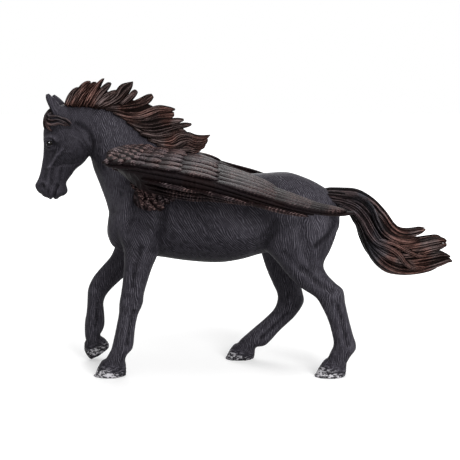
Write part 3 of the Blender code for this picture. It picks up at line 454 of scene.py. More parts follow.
# %% Body rows
# Trunk: top x, top z, bottom x, bottom z, half width
TRUNK_Y = 0.0
TRUNK = [
    (-54.6, 59.5, -54.4, 54.5, 3.5),
    (-53.4, 66.0, -52.6, 50.8, 8.0),
    (-50.0, 73.0, -49.0, 48.6, 10.5),
    (-43.0, 80.5, -43.0, 47.2, 12.3),
    (-34.0, 86.5, -34.0, 46.4, 13.2),
    (-24.0, 87.8, -26.0, 45.2, 14.0),
    (-15.9, 86.4, -18.0, 44.4, 14.8),
    (-9.0, 82.4, -10.0, 44.2, 15.3),
    (-1.3, 79.4, -2.0, 45.4, 15.5),
    (7.0, 79.4, 6.0, 47.6, 15.0),
    (16.4, 79.8, 14.0, 49.0, 14.8),
    (24.0, 77.5, 22.0, 49.0, 14.2),
    (29.5, 74.8, 29.0, 50.0, 12.4),
    (34.0, 71.6, 34.0, 53.0, 9.4),
    (37.0, 67.0, 37.0, 57.5, 5.5),
]
# Neck, from poll to withers: crest x, crest z, throat x, throat z, half width
NECK = [
    (-69.0, 106.6, -66.0, 96.0, 4.0),
    (-64.5, 106.8, -63.5, 91.0, 4.5),
    (-59.5, 106.4, -61.2, 86.8, 5.0),
    (-51.3, 104.4, -59.6, 81.0, 6.4),
    (-44.0, 98.6, -57.2, 74.6, 7.8),
    (-37.0, 92.6, -55.0, 68.0, 9.4),
    (-28.0, 89.0, -53.0, 60.0, 10.8),
    (-20.0, 86.5, -50.0, 54.0, 11.5),
]
# Head, from muzzle to poll: face x, face z, jaw x, jaw z, half width
HEAD = [
    (-76.8, 69.7, -74.6, 69.7, 1.2),
    (-79.8, 70.4, -72.8, 70.5, 2.5),
    (-81.8, 71.8, -71.1, 71.6, 3.2),
    (-82.8, 73.5, -70.7, 73.0, 3.6),
    (-82.9, 75.1, -71.3, 74.9, 3.6),
    (-81.9, 77.2, -70.9, 76.6, 3.4),
    (-81.0, 79.8, -69.3, 78.6, 3.4),
    (-80.3, 83.0, -67.2, 81.4, 3.8),
    (-79.7, 86.2, -64.0, 83.9, 4.7),
    (-79.4, 89.2, -61.7, 87.4, 5.7),
    (-79.3, 92.4, -61.0, 90.6, 6.1),
    (-79.3, 96.0, -61.8, 93.6, 6.2),
    (-78.4, 99.5, -64.3, 96.8, 5.7),
    (-76.6, 103.0, -66.0, 100.0, 5.0),
    (-74.2, 105.4, -67.6, 103.4, 4.0),
    (-71.8, 106.4, -68.8, 105.6, 2.2),
]
# Legs, from body to hoof: front x, front z, back x, back z, y, half width
LEFT_FORE = [
    (-49.0, 68.0, -33.0, 68.0, -4.5, 3.0),
    (-50.0, 58.0, -32.5, 57.0, -9.0, 5.6),
    (-47.5, 51.5, -34.0, 49.8, -10.2, 5.2),
    (-47.1, 45.6, -36.6, 43.6, -11.0, 4.3),
    (-47.6, 39.0, -38.6, 37.7, -11.6, 3.6),
    (-48.4, 33.1, -39.9, 33.0, -12.1, 3.3),
    (-49.1, 29.1, -40.4, 29.3, -12.3, 3.5),
    (-49.3, 25.5, -42.2, 25.3, -12.4, 2.9),
    (-50.3, 20.5, -43.3, 20.5, -12.5, 2.5),
    (-51.5, 15.1, -43.9, 15.3, -12.5, 2.6),
    (-52.5, 11.2, -44.6, 11.5, -12.5, 3.0),
    (-54.0, 8.4, -46.8, 9.0, -12.5, 2.7),
    (-55.6, 5.4, -48.0, 5.6, -12.5, 3.1),
    (-56.0, 3.0, -49.0, 3.0, -12.5, 2.6),
]
RIGHT_FORE = [
    (-50.0, 62.0, -33.0, 60.0, 7.5, 4.8),
    (-52.0, 52.5, -37.0, 48.5, 9.3, 5.2),
    (-54.5, 45.2, -43.5, 41.0, 10.2, 4.6),
    (-58.5, 40.3, -50.2, 35.7, 10.7, 3.8),
    (-62.4, 35.6, -55.3, 31.0, 11.0, 3.4),
    (-64.5, 31.0, -58.0, 27.5, 11.0, 3.5),
    (-65.0, 26.5, -58.9, 24.5, 11.0, 3.0),
    (-65.4, 21.5, -58.6, 20.5, 11.0, 2.5),
    (-66.3, 16.5, -58.5, 16.0, 11.0, 2.8),
    (-66.4, 13.0, -59.5, 12.8, 11.0, 2.9),
    (-66.3, 10.4, -60.6, 11.2, 11.0, 2.6),
    (-65.6, 8.2, -59.6, 9.4, 11.0, 3.0),
    (-64.6, 6.2, -59.6, 7.6, 11.0, 2.6),
]
RIGHT_HIND = [
    (9.0, 70.0, 28.0, 67.0, 4.0, 4.0),
    (3.5, 58.0, 30.5, 56.0, 8.4, 6.4),
    (6.5, 48.0, 27.0, 46.0, 9.8, 5.8),
    (9.0, 40.0, 25.0, 38.5, 11.0, 4.8),
    (11.5, 34.0, 23.4, 32.5, 12.0, 4.0),
    (13.9, 28.5, 24.2, 28.4, 12.6, 3.5),
    (13.9, 24.6, 24.6, 24.6, 13.0, 3.4),
    (12.2, 21.0, 21.0, 18.8, 13.0, 2.9),
    (8.2, 17.0, 14.8, 12.8, 13.0, 2.5),
    (3.2, 12.6, 10.8, 8.2, 13.0, 2.7),
    (0.7, 10.3, 8.3, 6.2, 13.0, 3.0),
    (-1.8, 7.9, 5.2, 5.8, 13.0, 2.8),
    (-3.4, 5.0, 3.8, 4.2, 13.0, 3.1),
    (-3.6, 3.0, 2.4, 2.8, 13.0, 2.6),
]
LEFT_HIND = [
    (10.0, 70.0, 31.0, 69.0, -4.0, 4.0),
    (4.0, 60.0, 35.6, 60.0, -8.2, 6.8),
    (6.5, 52.5, 33.6, 51.5, -9.2, 6.4),
    (12.0, 46.5, 30.4, 45.0, -10.2, 5.5),
    (17.3, 40.2, 31.6, 41.0, -11.2, 4.6),
    (22.0, 35.8, 35.0, 37.4, -12.0, 3.9),
    (27.5, 32.2, 38.0, 34.8, -12.5, 3.6),
    (30.0, 28.5, 38.7, 30.3, -12.8, 3.3),
    (32.5, 23.3, 40.2, 23.8, -13.0, 2.8),
    (34.2, 17.6, 41.9, 17.6, -13.0, 2.7),
    (34.9, 13.0, 43.4, 12.2, -13.0, 3.1),
    (33.6, 9.8, 41.3, 8.8, -13.0, 2.8),
    (32.2, 5.8, 39.6, 5.8, -13.0, 3.1),
    (32.0, 3.0, 38.4, 3.0, -13.0, 2.6),
]
# Hooves, coronet to sole: front x, front z, back x, back z, y, half width. Those that stand pass the floor.
HOOVES = [
    [
        (-56.3, 6.6, -47.6, 7.4, -12.5, 3.0), (-58.2, 3.2, -47.2, 3.6, -12.5, 4.0),
        (-59.8, -1.5, -47.4, -1.5, -12.5, 4.8),
    ],
    [
        (-66.6, 8.2, -59.0, 9.9, 11.0, 2.9), (-66.6, 4.4, -57.0, 7.4, 11.0, 3.8),
        (-64.4, 0.9, -56.9, 5.6, 11.0, 4.1),
    ],
    [
        (-4.1, 6.5, 4.4, 5.4, 13.0, 3.0), (-6.4, 3.2, 4.2, 2.6, 13.0, 4.0),
        (-8.2, -1.5, 3.6, -1.5, 13.0, 4.7),
    ],
    [
        (31.4, 7.0, 39.7, 7.0, -13.0, 3.0), (29.1, 3.4, 39.6, 3.2, -13.0, 4.0),
        (26.9, -1.5, 38.9, -1.5, -13.0, 4.8),
    ],
]

# %% Fuse the body
BODY_VOXEL = 0.64
BODY_SMOOTHING = 6  # rounds of smoothing after the remesh
SKIN = 0.3  # what the smoothing takes off


def blend(value, low, high):
    """0 below low, 1 above high, smooth between: 3t^2 - 2t^3."""
    t = np.clip((value - low) / (high - low), 0, 1)
    return t * t * (3 - 2 * t)


def limb(rows, narrowing=0.0, steps=6, sides=32):
    """A loft between two outlines seen from the side: x and z of the first, x and z of the second, y, half
    width."""
    rows = smooth_rows(rows, steps)
    return skin(rings(rows[:, [0, 4, 1]], rows[:, [2, 4, 3]], rows[:, 5], sides, narrowing))


def on_midline(rows):
    """Rows with the y of the midline put in."""
    return [(*row[:4], TRUNK_Y, row[4]) for row in rows]


def fused(shells, voxel, smoothing):
    """A mesh of the shells' union, from a voxel remesh and a smoothing."""
    blank = bpy.data.materials.new("blank")
    obj = piece("fusing", shells, blank)
    remesh = obj.modifiers.new("fuse", "REMESH")
    remesh.mode = "VOXEL"
    remesh.voxel_size = voxel * MM
    soften = obj.modifiers.new("soften", "SMOOTH")
    soften.factor = 0.5
    soften.iterations = smoothing
    mesh = bpy.data.meshes.new_from_object(obj.evaluated_get(bpy.context.evaluated_depsgraph_get()))
    bpy.data.objects.remove(obj)
    bpy.data.materials.remove(blank)
    return mesh


def points_and_normals(mesh):
    """Arrays of the mesh's points, in the side view's millimetres, and of its normals."""
    points, normals = np.empty(len(mesh.vertices) * 3), np.empty(len(mesh.vertices) * 3)
    mesh.vertices.foreach_get("co", points)
    mesh.vertex_normals.foreach_get("vector", normals)
    return points.reshape(-1, 3) / MM + (0, 0, FLOOR), normals.reshape(-1, 3)


masses = [limb(on_midline(TRUNK), 0.18), limb(on_midline(NECK), 0.28), limb(on_midline(HEAD), -0.12)]
masses += [limb(rows) for rows in (LEFT_FORE, RIGHT_FORE, RIGHT_HIND, LEFT_HIND, *HOOVES)]
body_mesh = fused(masses, BODY_VOXEL, BODY_SMOOTHING)
print("fused body:", len(body_mesh.polygons), "faces")

# %% [markdown]
# ## Muscles and face
#
# Muscles, creases, tendons and the features of the face are strokes, as from a modelling tool drawn over
# clay. Each stroke has a path in the side view, a reach and a height, and it fades out as a bell curve.
# Negative heights press grooves. A stroke works on the left side, the right side or both.

# %% Strokes
# Strokes that model the skin, as seen from the side: side (-1 left, 1 right, 0 both), reach, rise,
# points x, z
STROKES = [
    (0, 2.4, -0.9, [(-39.0, 87.0), (-49.0, 71.0), (-53.5, 62.0)]),
    (0, 4.5, 0.7, [(-40.0, 78.0), (-46.0, 68.0), (-49.0, 61.0)]),
    (0, 5.0, 0.8, [(-39.5, 61.0), (-38.5, 55.0)]),
    (0, 2.0, -1.2, [(-31.5, 69.0), (-32.5, 59.0), (-35.2, 51.0)]),
    (0, 2.0, -0.8, [(-60.0, 84.0), (-56.0, 74.0), (-52.5, 66.0)]),
    (0, 4.0, 0.7, [(-60.0, 93.0), (-52.0, 82.0), (-46.0, 75.0)]),
    (0, 3.0, -0.4, [(-28.0, 51.0), (-10.0, 49.0), (3.0, 53.0)]),
    (0, 2.4, -1.1, [(11.0, 61.0), (8.2, 55.0), (6.0, 50.0)]),
    (0, 5.0, -0.9, [(9.0, 69.0)]),
    (0, 3.2, 0.8, [(14.0, 75.0)]),
    (0, 5.0, 0.8, [(15.0, 62.0), (14.0, 55.0)]),
    (0, 2.2, -0.8, [(21.0, 66.0), (23.0, 54.0), (26.0, 45.0)]),
    (0, 4.0, 0.6, [(29.0, 63.0), (28.0, 54.0)]),
    (0, 1.8, -0.9, [(34.0, 67.0), (32.0, 57.0), (29.6, 48.0)]),
    (0, 4.3, 0.9, [(-66.8, 90.4)]),
    (0, 1.5, -1.5, [(-65.4, 98.6), (-61.6, 96.0), (-59.8, 91.4), (-60.4, 87.0)]),
    (0, 1.3, -0.5, [(-74.6, 83.6), (-71.6, 83.9), (-68.4, 83.9), (-65.8, 84.6)]),
    (0, 1.0, 0.6, [(-71.6, 89.2), (-73.9, 86.5), (-77.2, 82.2)]),
    (0, 1.4, -0.4, [(-77.4, 87.5), (-78.4, 82.0), (-78.9, 78.5)]),
    (0, 1.6, 0.3, [(-76.2, 91.6)]),
    (0, 0.9, 0.8, [(-78.3, 92.9), (-76.4, 94.2), (-74.2, 94.0), (-73.0, 92.6)]),
    (0, 0.8, 0.4, [(-77.8, 89.9), (-76.2, 89.2), (-74.6, 89.8)]),
    (0, 1.6, -0.6, [(-74.6, 97.0)]),
    (0, 0.9, 0.5, [(-76.6, 82.0), (-77.5, 78.8), (-77.7, 75.8)]),
    (0, 0.9, 0.5, [(-73.4, 82.4), (-74.3, 79.2), (-74.6, 76.4)]),
    (0, 0.8, -1.1, [(-80.6, 75.0), (-79.4, 74.7)]),
    (0, 0.8, 0.6, [(-81.6, 76.0), (-79.9, 76.8), (-78.4, 76.0), (-78.0, 74.6)]),
    (0, 0.7, -0.7, [(-75.6, 70.2), (-75.0, 72.4), (-74.0, 75.0)]),
    (-1, 0.9, -0.7, [(-43.6, 27.0), (-45.2, 20.0), (-46.2, 14.0)]),
    (-1, 1.2, -0.5, [(-43.0, 45.0), (-43.4, 37.0)]),
    (-1, 1.8, 0.5, [(-46.5, 31.0)]),
    (-1, 0.9, -0.7, [(35.8, 29.0), (38.2, 20.0), (39.8, 14.0)]),
    (-1, 1.4, -0.7, [(22.0, 43.5), (28.0, 38.4), (33.0, 35.4)]),
    (-1, 1.6, 0.5, [(34.4, 33.0)]),
    (1, 0.9, -0.6, [(-60.6, 25.0), (-61.6, 16.0)]),
    (1, 1.8, 0.5, [(-62.5, 30.5)]),
    (1, 0.9, -0.6, [(17.6, 20.4), (11.4, 14.0), (7.0, 10.0)]),
    (1, 1.6, 0.5, [(19.0, 26.0)]),
]
ALL_ROUND = 2  # a stroke for the outline, which moves the skin whichever way it faces
FINE_STROKES = [
    (0, 0.9, 0.35, [(-60.5, 82.5), (-57.5, 76.0), (-55.0, 70.5)]),
    (0, 1.1, -0.35, [(-57.0, 86.0), (-53.0, 79.0), (-48.0, 72.0)]),
    (0, 1.6, -0.4, [(-44.0, 73.0), (-43.5, 66.0), (-45.5, 59.0)]),
    (0, 1.2, -0.4, [(-40.0, 52.0), (-41.5, 46.0), (-43.0, 41.0)]),
    (0, 1.0, -0.3, [(-26.0, 62.0), (-20.0, 55.0), (-13.0, 50.0)]),
    (0, 1.0, -0.25, [(-18.0, 64.0), (-12.0, 57.0), (-6.0, 51.0)]),
    (0, 0.9, 0.3, [(-30.0, 49.5), (-22.0, 50.6), (-12.0, 50.0)]),
    (0, 1.4, -0.45, [(15.0, 50.0), (20.0, 45.5), (25.0, 42.0)]),
    (0, 0.9, -0.55, [(35.0, 65.0), (34.7, 62.2), (32.9, 57.5), (27.1, 52.8)]),
    (0, 0.40, 0.40, [
        (-71.4, 89.1), (-72.8, 87.6), (-73.9, 86.5), (-75.0, 84.8), (-76.1, 83.2), (-77.2, 82.2),
    ]),
    (0, 0.34, 0.32, [(-73.2, 89.7), (-73.6, 87.1)]),
    (0, 0.34, 0.28, [(-68.0, 88.5), (-70.6, 88.1), (-72.4, 87.2)]),
    (0, 0.60, -0.30, [(-72.6, 90.4), (-74.8, 87.6), (-76.4, 84.6)]),
    (0, 0.55, -0.35, [(-74.8, 82.8), (-71.8, 83.4), (-68.3, 83.3), (-65.3, 83.9)]),
    (0, 0.35, 0.30, [(-74.2, 93.5), (-73.7, 91.5), (-74.2, 88.9)]),
    (0, 0.30, 0.22, [(-73.2, 92.6), (-72.9, 91.0), (-73.2, 88.9)]),
    (0, 0.50, -0.35, [(-78.4, 90.6), (-78.0, 89.2), (-76.4, 88.2), (-74.8, 88.6)]),
    (0, 0.55, -0.35, [(-75.8, 81.4), (-76.4, 78.6), (-76.2, 75.7)]),
    (0, 0.55, -0.30, [(-72.1, 81.8), (-72.7, 78.6), (-72.9, 75.9)]),
    (0, 0.70, 0.45, [(-80.5, 75.0), (-79.4, 74.7)]),
    (ALL_ROUND, 0.9, 0.40, [(-82.9, 74.7)]),
    (ALL_ROUND, 0.9, -0.35, [(-81.0, 71.4)]),
    (ALL_ROUND, 0.6, 0.50, [(-77.3, 69.7)]),
    (ALL_ROUND, 0.45, -0.55, [(-76.4, 69.5)]),
    (ALL_ROUND, 0.7, 0.40, [(-75.3, 69.7)]),
    (ALL_ROUND, 1.0, -0.30, [(-73.4, 70.5)]),
    (0, 0.40, 0.25, [(-81.6, 75.4), (-80.6, 76.3), (-79.2, 76.3), (-78.3, 75.5)]),
    (0, 0.35, -0.45, [(-75.4, 69.9), (-74.9, 72.0), (-74.4, 73.6), (-73.7, 75.0)]),
    (0, 0.50, 0.25, [(-76.6, 71.2), (-76.2, 73.2)]),
    (0, 0.45, -0.25, [(-77.8, 71.0), (-77.6, 73.0)]),
    (0, 0.40, 0.22, [(-68.5, 95.0), (-64.8, 93.2), (-62.6, 90.6)]),
    (0, 0.60, -0.35, [(-61.0, 93.6), (-59.8, 90.4), (-60.4, 87.2)]),
    (0, 0.55, -0.22, [(-71.4, 97.4), (-67.4, 97.6), (-63.8, 95.6)]),
    (0, 1.3, 0.4, [(-73.2, 72.2)]),
    (0, 0.7, -0.3, [(-64.4, 92.0), (-63.0, 88.0), (-63.6, 84.6)]),
]
# Spots of painted light (+) and painted shade (-), lighter where light falls and darker in creases and shade:
# reach, amount, points x, z
PAINTED_LIGHT_SPOTS = [
    (6.0, 0.26, [(-7.0, 67.0), (0.0, 62.0)]),
    (8.0, 0.09, [(24.0, 68.0), (24.0, 57.0)]),
    (6.0, 0.24, [(-52.0, 78.0), (-50.0, 66.0)]),
    (9.0, 0.05, [(-52.0, 96.0), (-44.0, 88.0)]),
    (6.0, -0.08, [(-42.0, 62.0), (-38.0, 56.0)]),
    (5.0, -0.12, [(-26.0, 49.0), (-4.0, 49.0)]),
    (3.5, -0.12, [(-31.2, 62.0), (-32.0, 52.0)]),
    (1.3, -0.32, [(35.0, 64.5), (33.3, 58.0), (27.3, 52.9)]),
    (4.0, -0.08, [(9.6, 57.0)]),
    (2.2, -0.22, [(-57.5, 82.0), (-57.2, 88.0), (-58.6, 94.0)]),
    (2.0, -0.16, [(-76.0, 98.0), (-70.0, 99.0)]),
    (7.0, -0.05, [(-67.0, 90.0)]),
    (1.6, -0.32, [(-77.6, 91.6), (-74.6, 91.9)]),
    (0.8, 0.22, [(-78.2, 93.6), (-76.2, 94.3), (-74.0, 93.4)]),
    (0.7, 0.10, [(-72.6, 88.4), (-75.6, 84.4), (-77.4, 82.2)]),
    (1.2, 0.10, [(-80.0, 86.0), (-80.6, 80.0), (-81.0, 77.0)]),
]
LESS_ALL_OVER = 0.06  # how much less paint the coat has than its ridges would catch
# painted shade: a surface that faces down is painted darker by this much
PAINTED_SHADE_BELOW = 0.16  # how much less paint a surface that faces down has
HEAD_BACK, HEAD_LOW = -59.0, 68.5  # the head lies in front of this x and above this z
HOOF_TOP = 9.0  # the hooves lie below this z
HOOF_REACH = 11.0  # no point of a hoof is further than this from its middle
RAISED_ROUNDS, RAISED_GAIN = 4, 1.6  # how many edges far the raised mark compares, and how steeply it answers
RINGS, RING_RISE = 7.0, 0.05  # growth rings from coronet to sole, and their height


def set_points(mesh, points):
    """Puts points, in the side view's millimetres, into the mesh."""
    mesh.vertices.foreach_set("co", in_metres(points).ravel())
    mesh.update()


def finer(mesh):
    """Cuts every edge in half on the head and the hooves."""
    cut = bmesh.new()
    cut.from_mesh(mesh)
    back, low, top = HEAD_BACK * MM, (HEAD_LOW - FLOOR) * MM, (HOOF_TOP - FLOOR) * MM
    fine = {v for v in cut.verts if (v.co.x < back and v.co.z > low) or v.co.z < top}
    edges = [edge for edge in cut.edges if edge.verts[0] in fine and edge.verts[1] in fine]
    bmesh.ops.subdivide_edges(cut, edges=edges, cuts=1, use_grid_fill=True)
    cut.to_mesh(mesh)
    cut.free()


def cut_at_floor(mesh):
    """Cuts the mesh at z = 0 and closes each sole with one flat face."""
    cut = bmesh.new()
    cut.from_mesh(mesh)
    everything = cut.verts[:] + cut.edges[:] + cut.faces[:]
    bmesh.ops.bisect_plane(cut, geom=everything, plane_co=(0, 0, 0), plane_no=(0, 0, 1), clear_inner=True)
    bmesh.ops.edgeloop_fill(cut, edges=[edge for edge in cut.edges if edge.is_boundary])
    bmesh.ops.triangulate(cut, faces=[face for face in cut.faces if len(face.verts) > 4])
    bmesh.ops.recalc_face_normals(cut, faces=cut.faces)
    cut.to_mesh(mesh)
    cut.free()


def down_the_hoof(points):
    """For each point, how far it is from coronet (0) to sole (1) of the nearest hoof, and below 0 off the
    hooves: s = (p - coronet) . axis / |axis|^2."""
    share = np.full(len(points), -1.0)
    for rows in HOOVES:
        middles = [np.array([(row[0] + row[2]) / 2, row[4], (row[1] + row[3]) / 2]) for row in rows]
        first, last = middles[0], middles[-1]
        axis = last - first
        near = np.linalg.norm(points - (first + last) / 2, axis=1) < HOOF_REACH
        share[near] = ((points[near] - first) @ axis) / (axis @ axis)
    return share


def fading(points, reach, path):
    """A bell curve around a path in the side view: exp(-(gap / reach)^2)."""
    spots = smooth_rows(path, 8) if len(path) > 1 else np.array(path)
    limit = np.ptp(spots, axis=0).max() + 3 * reach
    near = np.linalg.norm(points[:, [0, 2]] - spots.mean(axis=0), axis=1) < limit
    gap = np.full(near.sum(), np.inf)
    for x, z in spots:
        gap = np.minimum(gap, (points[near, 0] - x) ** 2 + (points[near, 2] - z) ** 2)
    bell = np.zeros(len(points))
    bell[near] = np.exp(-gap / reach**2)
    return bell


def modelled(points, normals, strokes, swell):
    """Points moved along their normals: shift = swell + sum of height |n_y| exp(-(gap / reach)^2)."""
    rise = np.full(len(points), swell)
    for side, reach, height, path in strokes:
        facing = 1.0 if side == ALL_ROUND else np.abs(normals[:, 1]) * (side * points[:, 1] >= 0)
        rise += height * facing * fading(points, reach, path)
    return points + normals * rise[:, None]


def raised_mark(mesh, rounds):
    """1 on ridges and 0 in grooves: 0.5 - gain x (mean of the neighbours - p) . n. The mean is taken rounds
    times over, so it reaches that many edges far."""
    points, normals = points_and_normals(mesh)
    pairs = np.empty(len(mesh.edges) * 2, np.int64)
    mesh.edges.foreach_get("vertices", pairs)
    a, b = pairs.reshape(-1, 2).T
    degree = np.bincount(np.concatenate([a, b]), minlength=len(points))

    def neighbours(values):
        total = np.bincount(a, values[b], len(points)) + np.bincount(b, values[a], len(points))
        return total / degree

    soft = points.copy()
    for _ in range(rounds):
        soft = np.stack([neighbours(soft[:, k]) for k in range(3)], axis=1)
    hollow = np.einsum("ij,ij->i", soft - points, normals)
    return np.clip(0.5 - RAISED_GAIN * hollow, 0, 1)


def leaning(normals, turn):
    """Which of the two families of lines crosses the skin steeply: 0, the first, where n_y times n across the
    hair is positive, and 1, the second, where it is negative."""
    across = normals[:, 2] * np.cos(turn) - normals[:, 0] * np.sin(turn)
    return 1 - blend(normals[:, 1] * across, -0.04, 0.04)


# %% Shape the skin
points, normals = points_and_normals(body_mesh)
points = modelled(points, normals, STROKES, SKIN)
set_points(body_mesh, points)
finer(body_mesh)
points, normals = points_and_normals(body_mesh)
points = modelled(points, normals, FINE_STROKES, 0.0)
down = down_the_hoof(points)
rings_on_horn = RING_RISE * np.sin(2 * math.pi * down * RINGS) * blend(down, 0.15, 0.4)
set_points(body_mesh, points + normals * rings_on_horn[:, None])
cut_at_floor(body_mesh)
points, normals = points_and_normals(body_mesh)
print("shaped body:", len(body_mesh.polygons), "faces")

# %% Marks for the coat
down = down_the_hoof(points)
scuffs = blend(down, 0.26, 0.62) * (1 - 0.8 * blend(down, 0.84, 0.94))  # less at the sole
scuffs *= 1 - 0.6 * blend(normals[:, 0], 0.3, 0.8)  # and less at the heel
x, z = points[:, 0], points[:, 2]
marks = {
    "raised": raised_mark(body_mesh, RAISED_ROUNDS),
    "neck": blend(-x, 36.0, 46.0) * blend(z, 52.0, 62.0),
    "haunch": blend(x, 4.0, 14.0) * blend(z, 40.0, 50.0),
    "face": blend(-x, 59.0, 63.0) * blend(z, 66.0, 68.0),
    "leg": 1 - blend(z, 42.0, 50.0),
    "horn": blend(down, 0.02, 0.30),
    "scuffed": scuffs,
    # Painted shade on faces that turn down, and a little less paint all over
    "dabbed": -PAINTED_SHADE_BELOW * np.clip(-normals[:, 2], 0, 1) - LESS_ALL_OVER,
}
# Spots of painted light and painted shade
for reach, amount, path in PAINTED_LIGHT_SPOTS:
    marks["dabbed"] += amount * fading(points, reach, path)
turn = np.full(len(points), HAIR["trunk"][0])
for patch in OVER_TRUNK:
    turn += marks[patch] * (HAIR[patch][0] - turn)
marks["leaning"] = leaning(normals, turn)
for key, values in marks.items():
    body_mesh.attributes.new(key, "FLOAT", "POINT").data.foreach_set("value", values.astype(np.float32))
body_mesh.polygons.foreach_set("use_smooth", np.ones(len(body_mesh.polygons), bool))
body_mesh.materials.clear()
body_mesh.materials.append(coat_paint)
body = bpy.data.objects.new("body", body_mesh)
bpy.context.scene.collection.objects.link(body)
placed(body)
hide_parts(NODE)

# %% [markdown]
# ## Eyes and ears
#
# The eye is a glossy ball set into the head, and three rims of skin, laid around it as thin tubes, make the
# lids and the fold above them. The ear is a leaf rolled into a cup: its section is an open arc, and the arc's
# inner side makes the hollow.

# %% Eyes
EYE_X, EYE_Z, EYE_RADIUS = -76.15, 91.65, 1.55
EYE_PROUD = 0.62  # how far the ball stands out of the skin
LID_TILT = 0.12  # turn of the lids in the side view, in radians
# Marks of the lids and the ears, which have the face's coat
NO_PATCH = dict.fromkeys(("neck", "haunch", "leg", "horn", "scuffed", "leaning"), 0.0)
NO_PATCH.update(face=1.0, dabbed=-LESS_ALL_OVER)


def side_at(x, z, reach=0.6):
    """How far the body's skin stands from the midline at a place in the side view."""
    near = np.hypot(points[:, 0] - x, points[:, 2] - z) < reach
    return -points[near, 1].min()


EYE_Y = side_at(EYE_X, EYE_Z) + EYE_PROUD - EYE_RADIUS
GLINT_RADIUS = 0.21 * MM
# The painted glint: a point on the ball, up and forward of its middle, with every coordinate positive
GLINT_DX, GLINT_DZ = -0.12, 0.34
GLINT = (
    abs(EYE_X + GLINT_DX) * MM,
    (EYE_Y + math.sqrt(EYE_RADIUS**2 - GLINT_DX**2 - GLINT_DZ**2)) * MM,
    (EYE_Z + GLINT_DZ - FLOOR) * MM,
)
print(f"eye centre {EYE_Y:.2f} mm from the midline")


def ball(centre, radius, turns=40):
    """A sphere as rings: c + r (sin a cos b, cos a, sin a sin b)."""
    a = np.linspace(0.04, math.pi - 0.04, turns // 2)[:, None]
    b = np.linspace(0, 2 * math.pi, turns, endpoint=False)[None, :]
    grid = np.stack([np.sin(a) * np.cos(b), np.cos(a) + 0 * b, np.sin(a) * np.sin(b)], axis=-1)
    return skin(np.array(centre) + radius * grid)


def tube(path, radius, sides=12, **marks):
    """A round tube along a path, by a frame of two normals square to it."""
    ahead = unit(np.gradient(path, axis=0))
    side = unit(np.cross(ahead, (0.03, 1.0, 0.02)))
    up = np.cross(side, ahead)
    a = np.linspace(0, 2 * math.pi, sides, endpoint=False)[None, :, None]
    circle = side[:, None] * np.cos(a) + up[:, None] * np.sin(a)
    return skin(path[:, None] + np.asarray(radius).reshape(-1, 1, 1) * circle, **marks)


def lid(start, end, half_length, half_height, radius, sink=0.0):
    """A rim over the eye from one corner to the other, on an ellipse that hugs the ball."""
    a = np.linspace(start, end, 30)
    along, up = half_length * np.cos(a), half_height * np.sin(a)
    dx = along * math.cos(LID_TILT) - up * math.sin(LID_TILT)
    dz = along * math.sin(LID_TILT) + up * math.cos(LID_TILT)
    depth = np.sqrt(np.maximum((EYE_RADIUS + 0.02) ** 2 - dx**2 - dz**2, 0.55)) - sink
    path = np.stack([EYE_X + dx, -(EYE_Y + depth), EYE_Z + dz], axis=1)
    thick = radius * (0.45 + 0.55 * np.sin(np.linspace(0.2, math.pi - 0.2, 30)))
    return tube(path, thick, raised=0.6, **NO_PATCH)


eye_paint = bpy.data.materials.new("eye_gloss")
eye_paint.use_nodes = True
n = Nodes(eye_paint.node_tree)
eye_shader = eye_paint.node_tree.nodes["Principled BSDF"]
eye_place = n.place()
eye_tone = n.mix(n.noise(eye_place, 900.0), (0.001, 0.001, 0.001, 1), (0.006, 0.004, 0.003, 1))
both_sides = n.add("ShaderNodeVectorMath", {0: eye_place}, operation="ABSOLUTE").outputs[0]
from_glint = n.add("ShaderNodeVectorMath", {0: both_sides, 1: GLINT}, operation="DISTANCE").outputs["Value"]
glint = n.ramp(from_glint, GLINT_RADIUS * 1.15, GLINT_RADIUS * 0.75)
eye_tone = n.mix(glint, eye_tone, (0.62, 0.62, 0.65, 1))
n.tree.links.new(eye_tone, eye_shader.inputs["Base Color"])
eye_shader.inputs["Roughness"].default_value = 0.05
eye_shader.inputs["Specular IOR Level"].default_value = 0.06

left_eye = ball((EYE_X, -EYE_Y, EYE_Z), EYE_RADIUS)
left_lids = [
    lid(math.pi * 1.02, -0.02 * math.pi, 1.70, 1.22, 0.36),
    lid(math.pi * 0.98, math.pi * 2.02, 1.70, 1.12, 0.26),
    lid(math.pi * 0.95, 0.05 * math.pi, 2.20, 1.75, 0.30, 0.1),
]
placed(piece("eyes", [left_eye, mirrored(left_eye)], eye_paint))
placed(piece("eyelids", left_lids + [mirrored(shell) for shell in left_lids], coat_paint))

# %% Ears
# Ears, base to tip: x, z, y, half breadth, half thickness
EARS = [
    [
        (-73.2, 102.6, -2.8, 2.5, 1.7), (-74.1, 105.0, -3.3, 2.3, 1.5), (-75.4, 107.4, -3.8, 1.9, 1.2),
        (-76.4, 109.2, -4.1, 1.4, 0.9), (-76.9, 110.6, -4.3, 0.7, 0.5),
    ],
    [
        (-71.4, 102.8, 2.8, 2.3, 1.7), (-72.6, 105.2, 3.3, 2.2, 1.5), (-74.2, 107.4, 3.8, 1.8, 1.2),
        (-75.4, 109.0, 4.1, 1.3, 0.9), (-76.0, 110.2, 4.3, 0.6, 0.5),
    ],
]
EAR_ARC, EAR_POINTS = 4.9, 26  # the angle that an ear's section covers, in radians, and its points


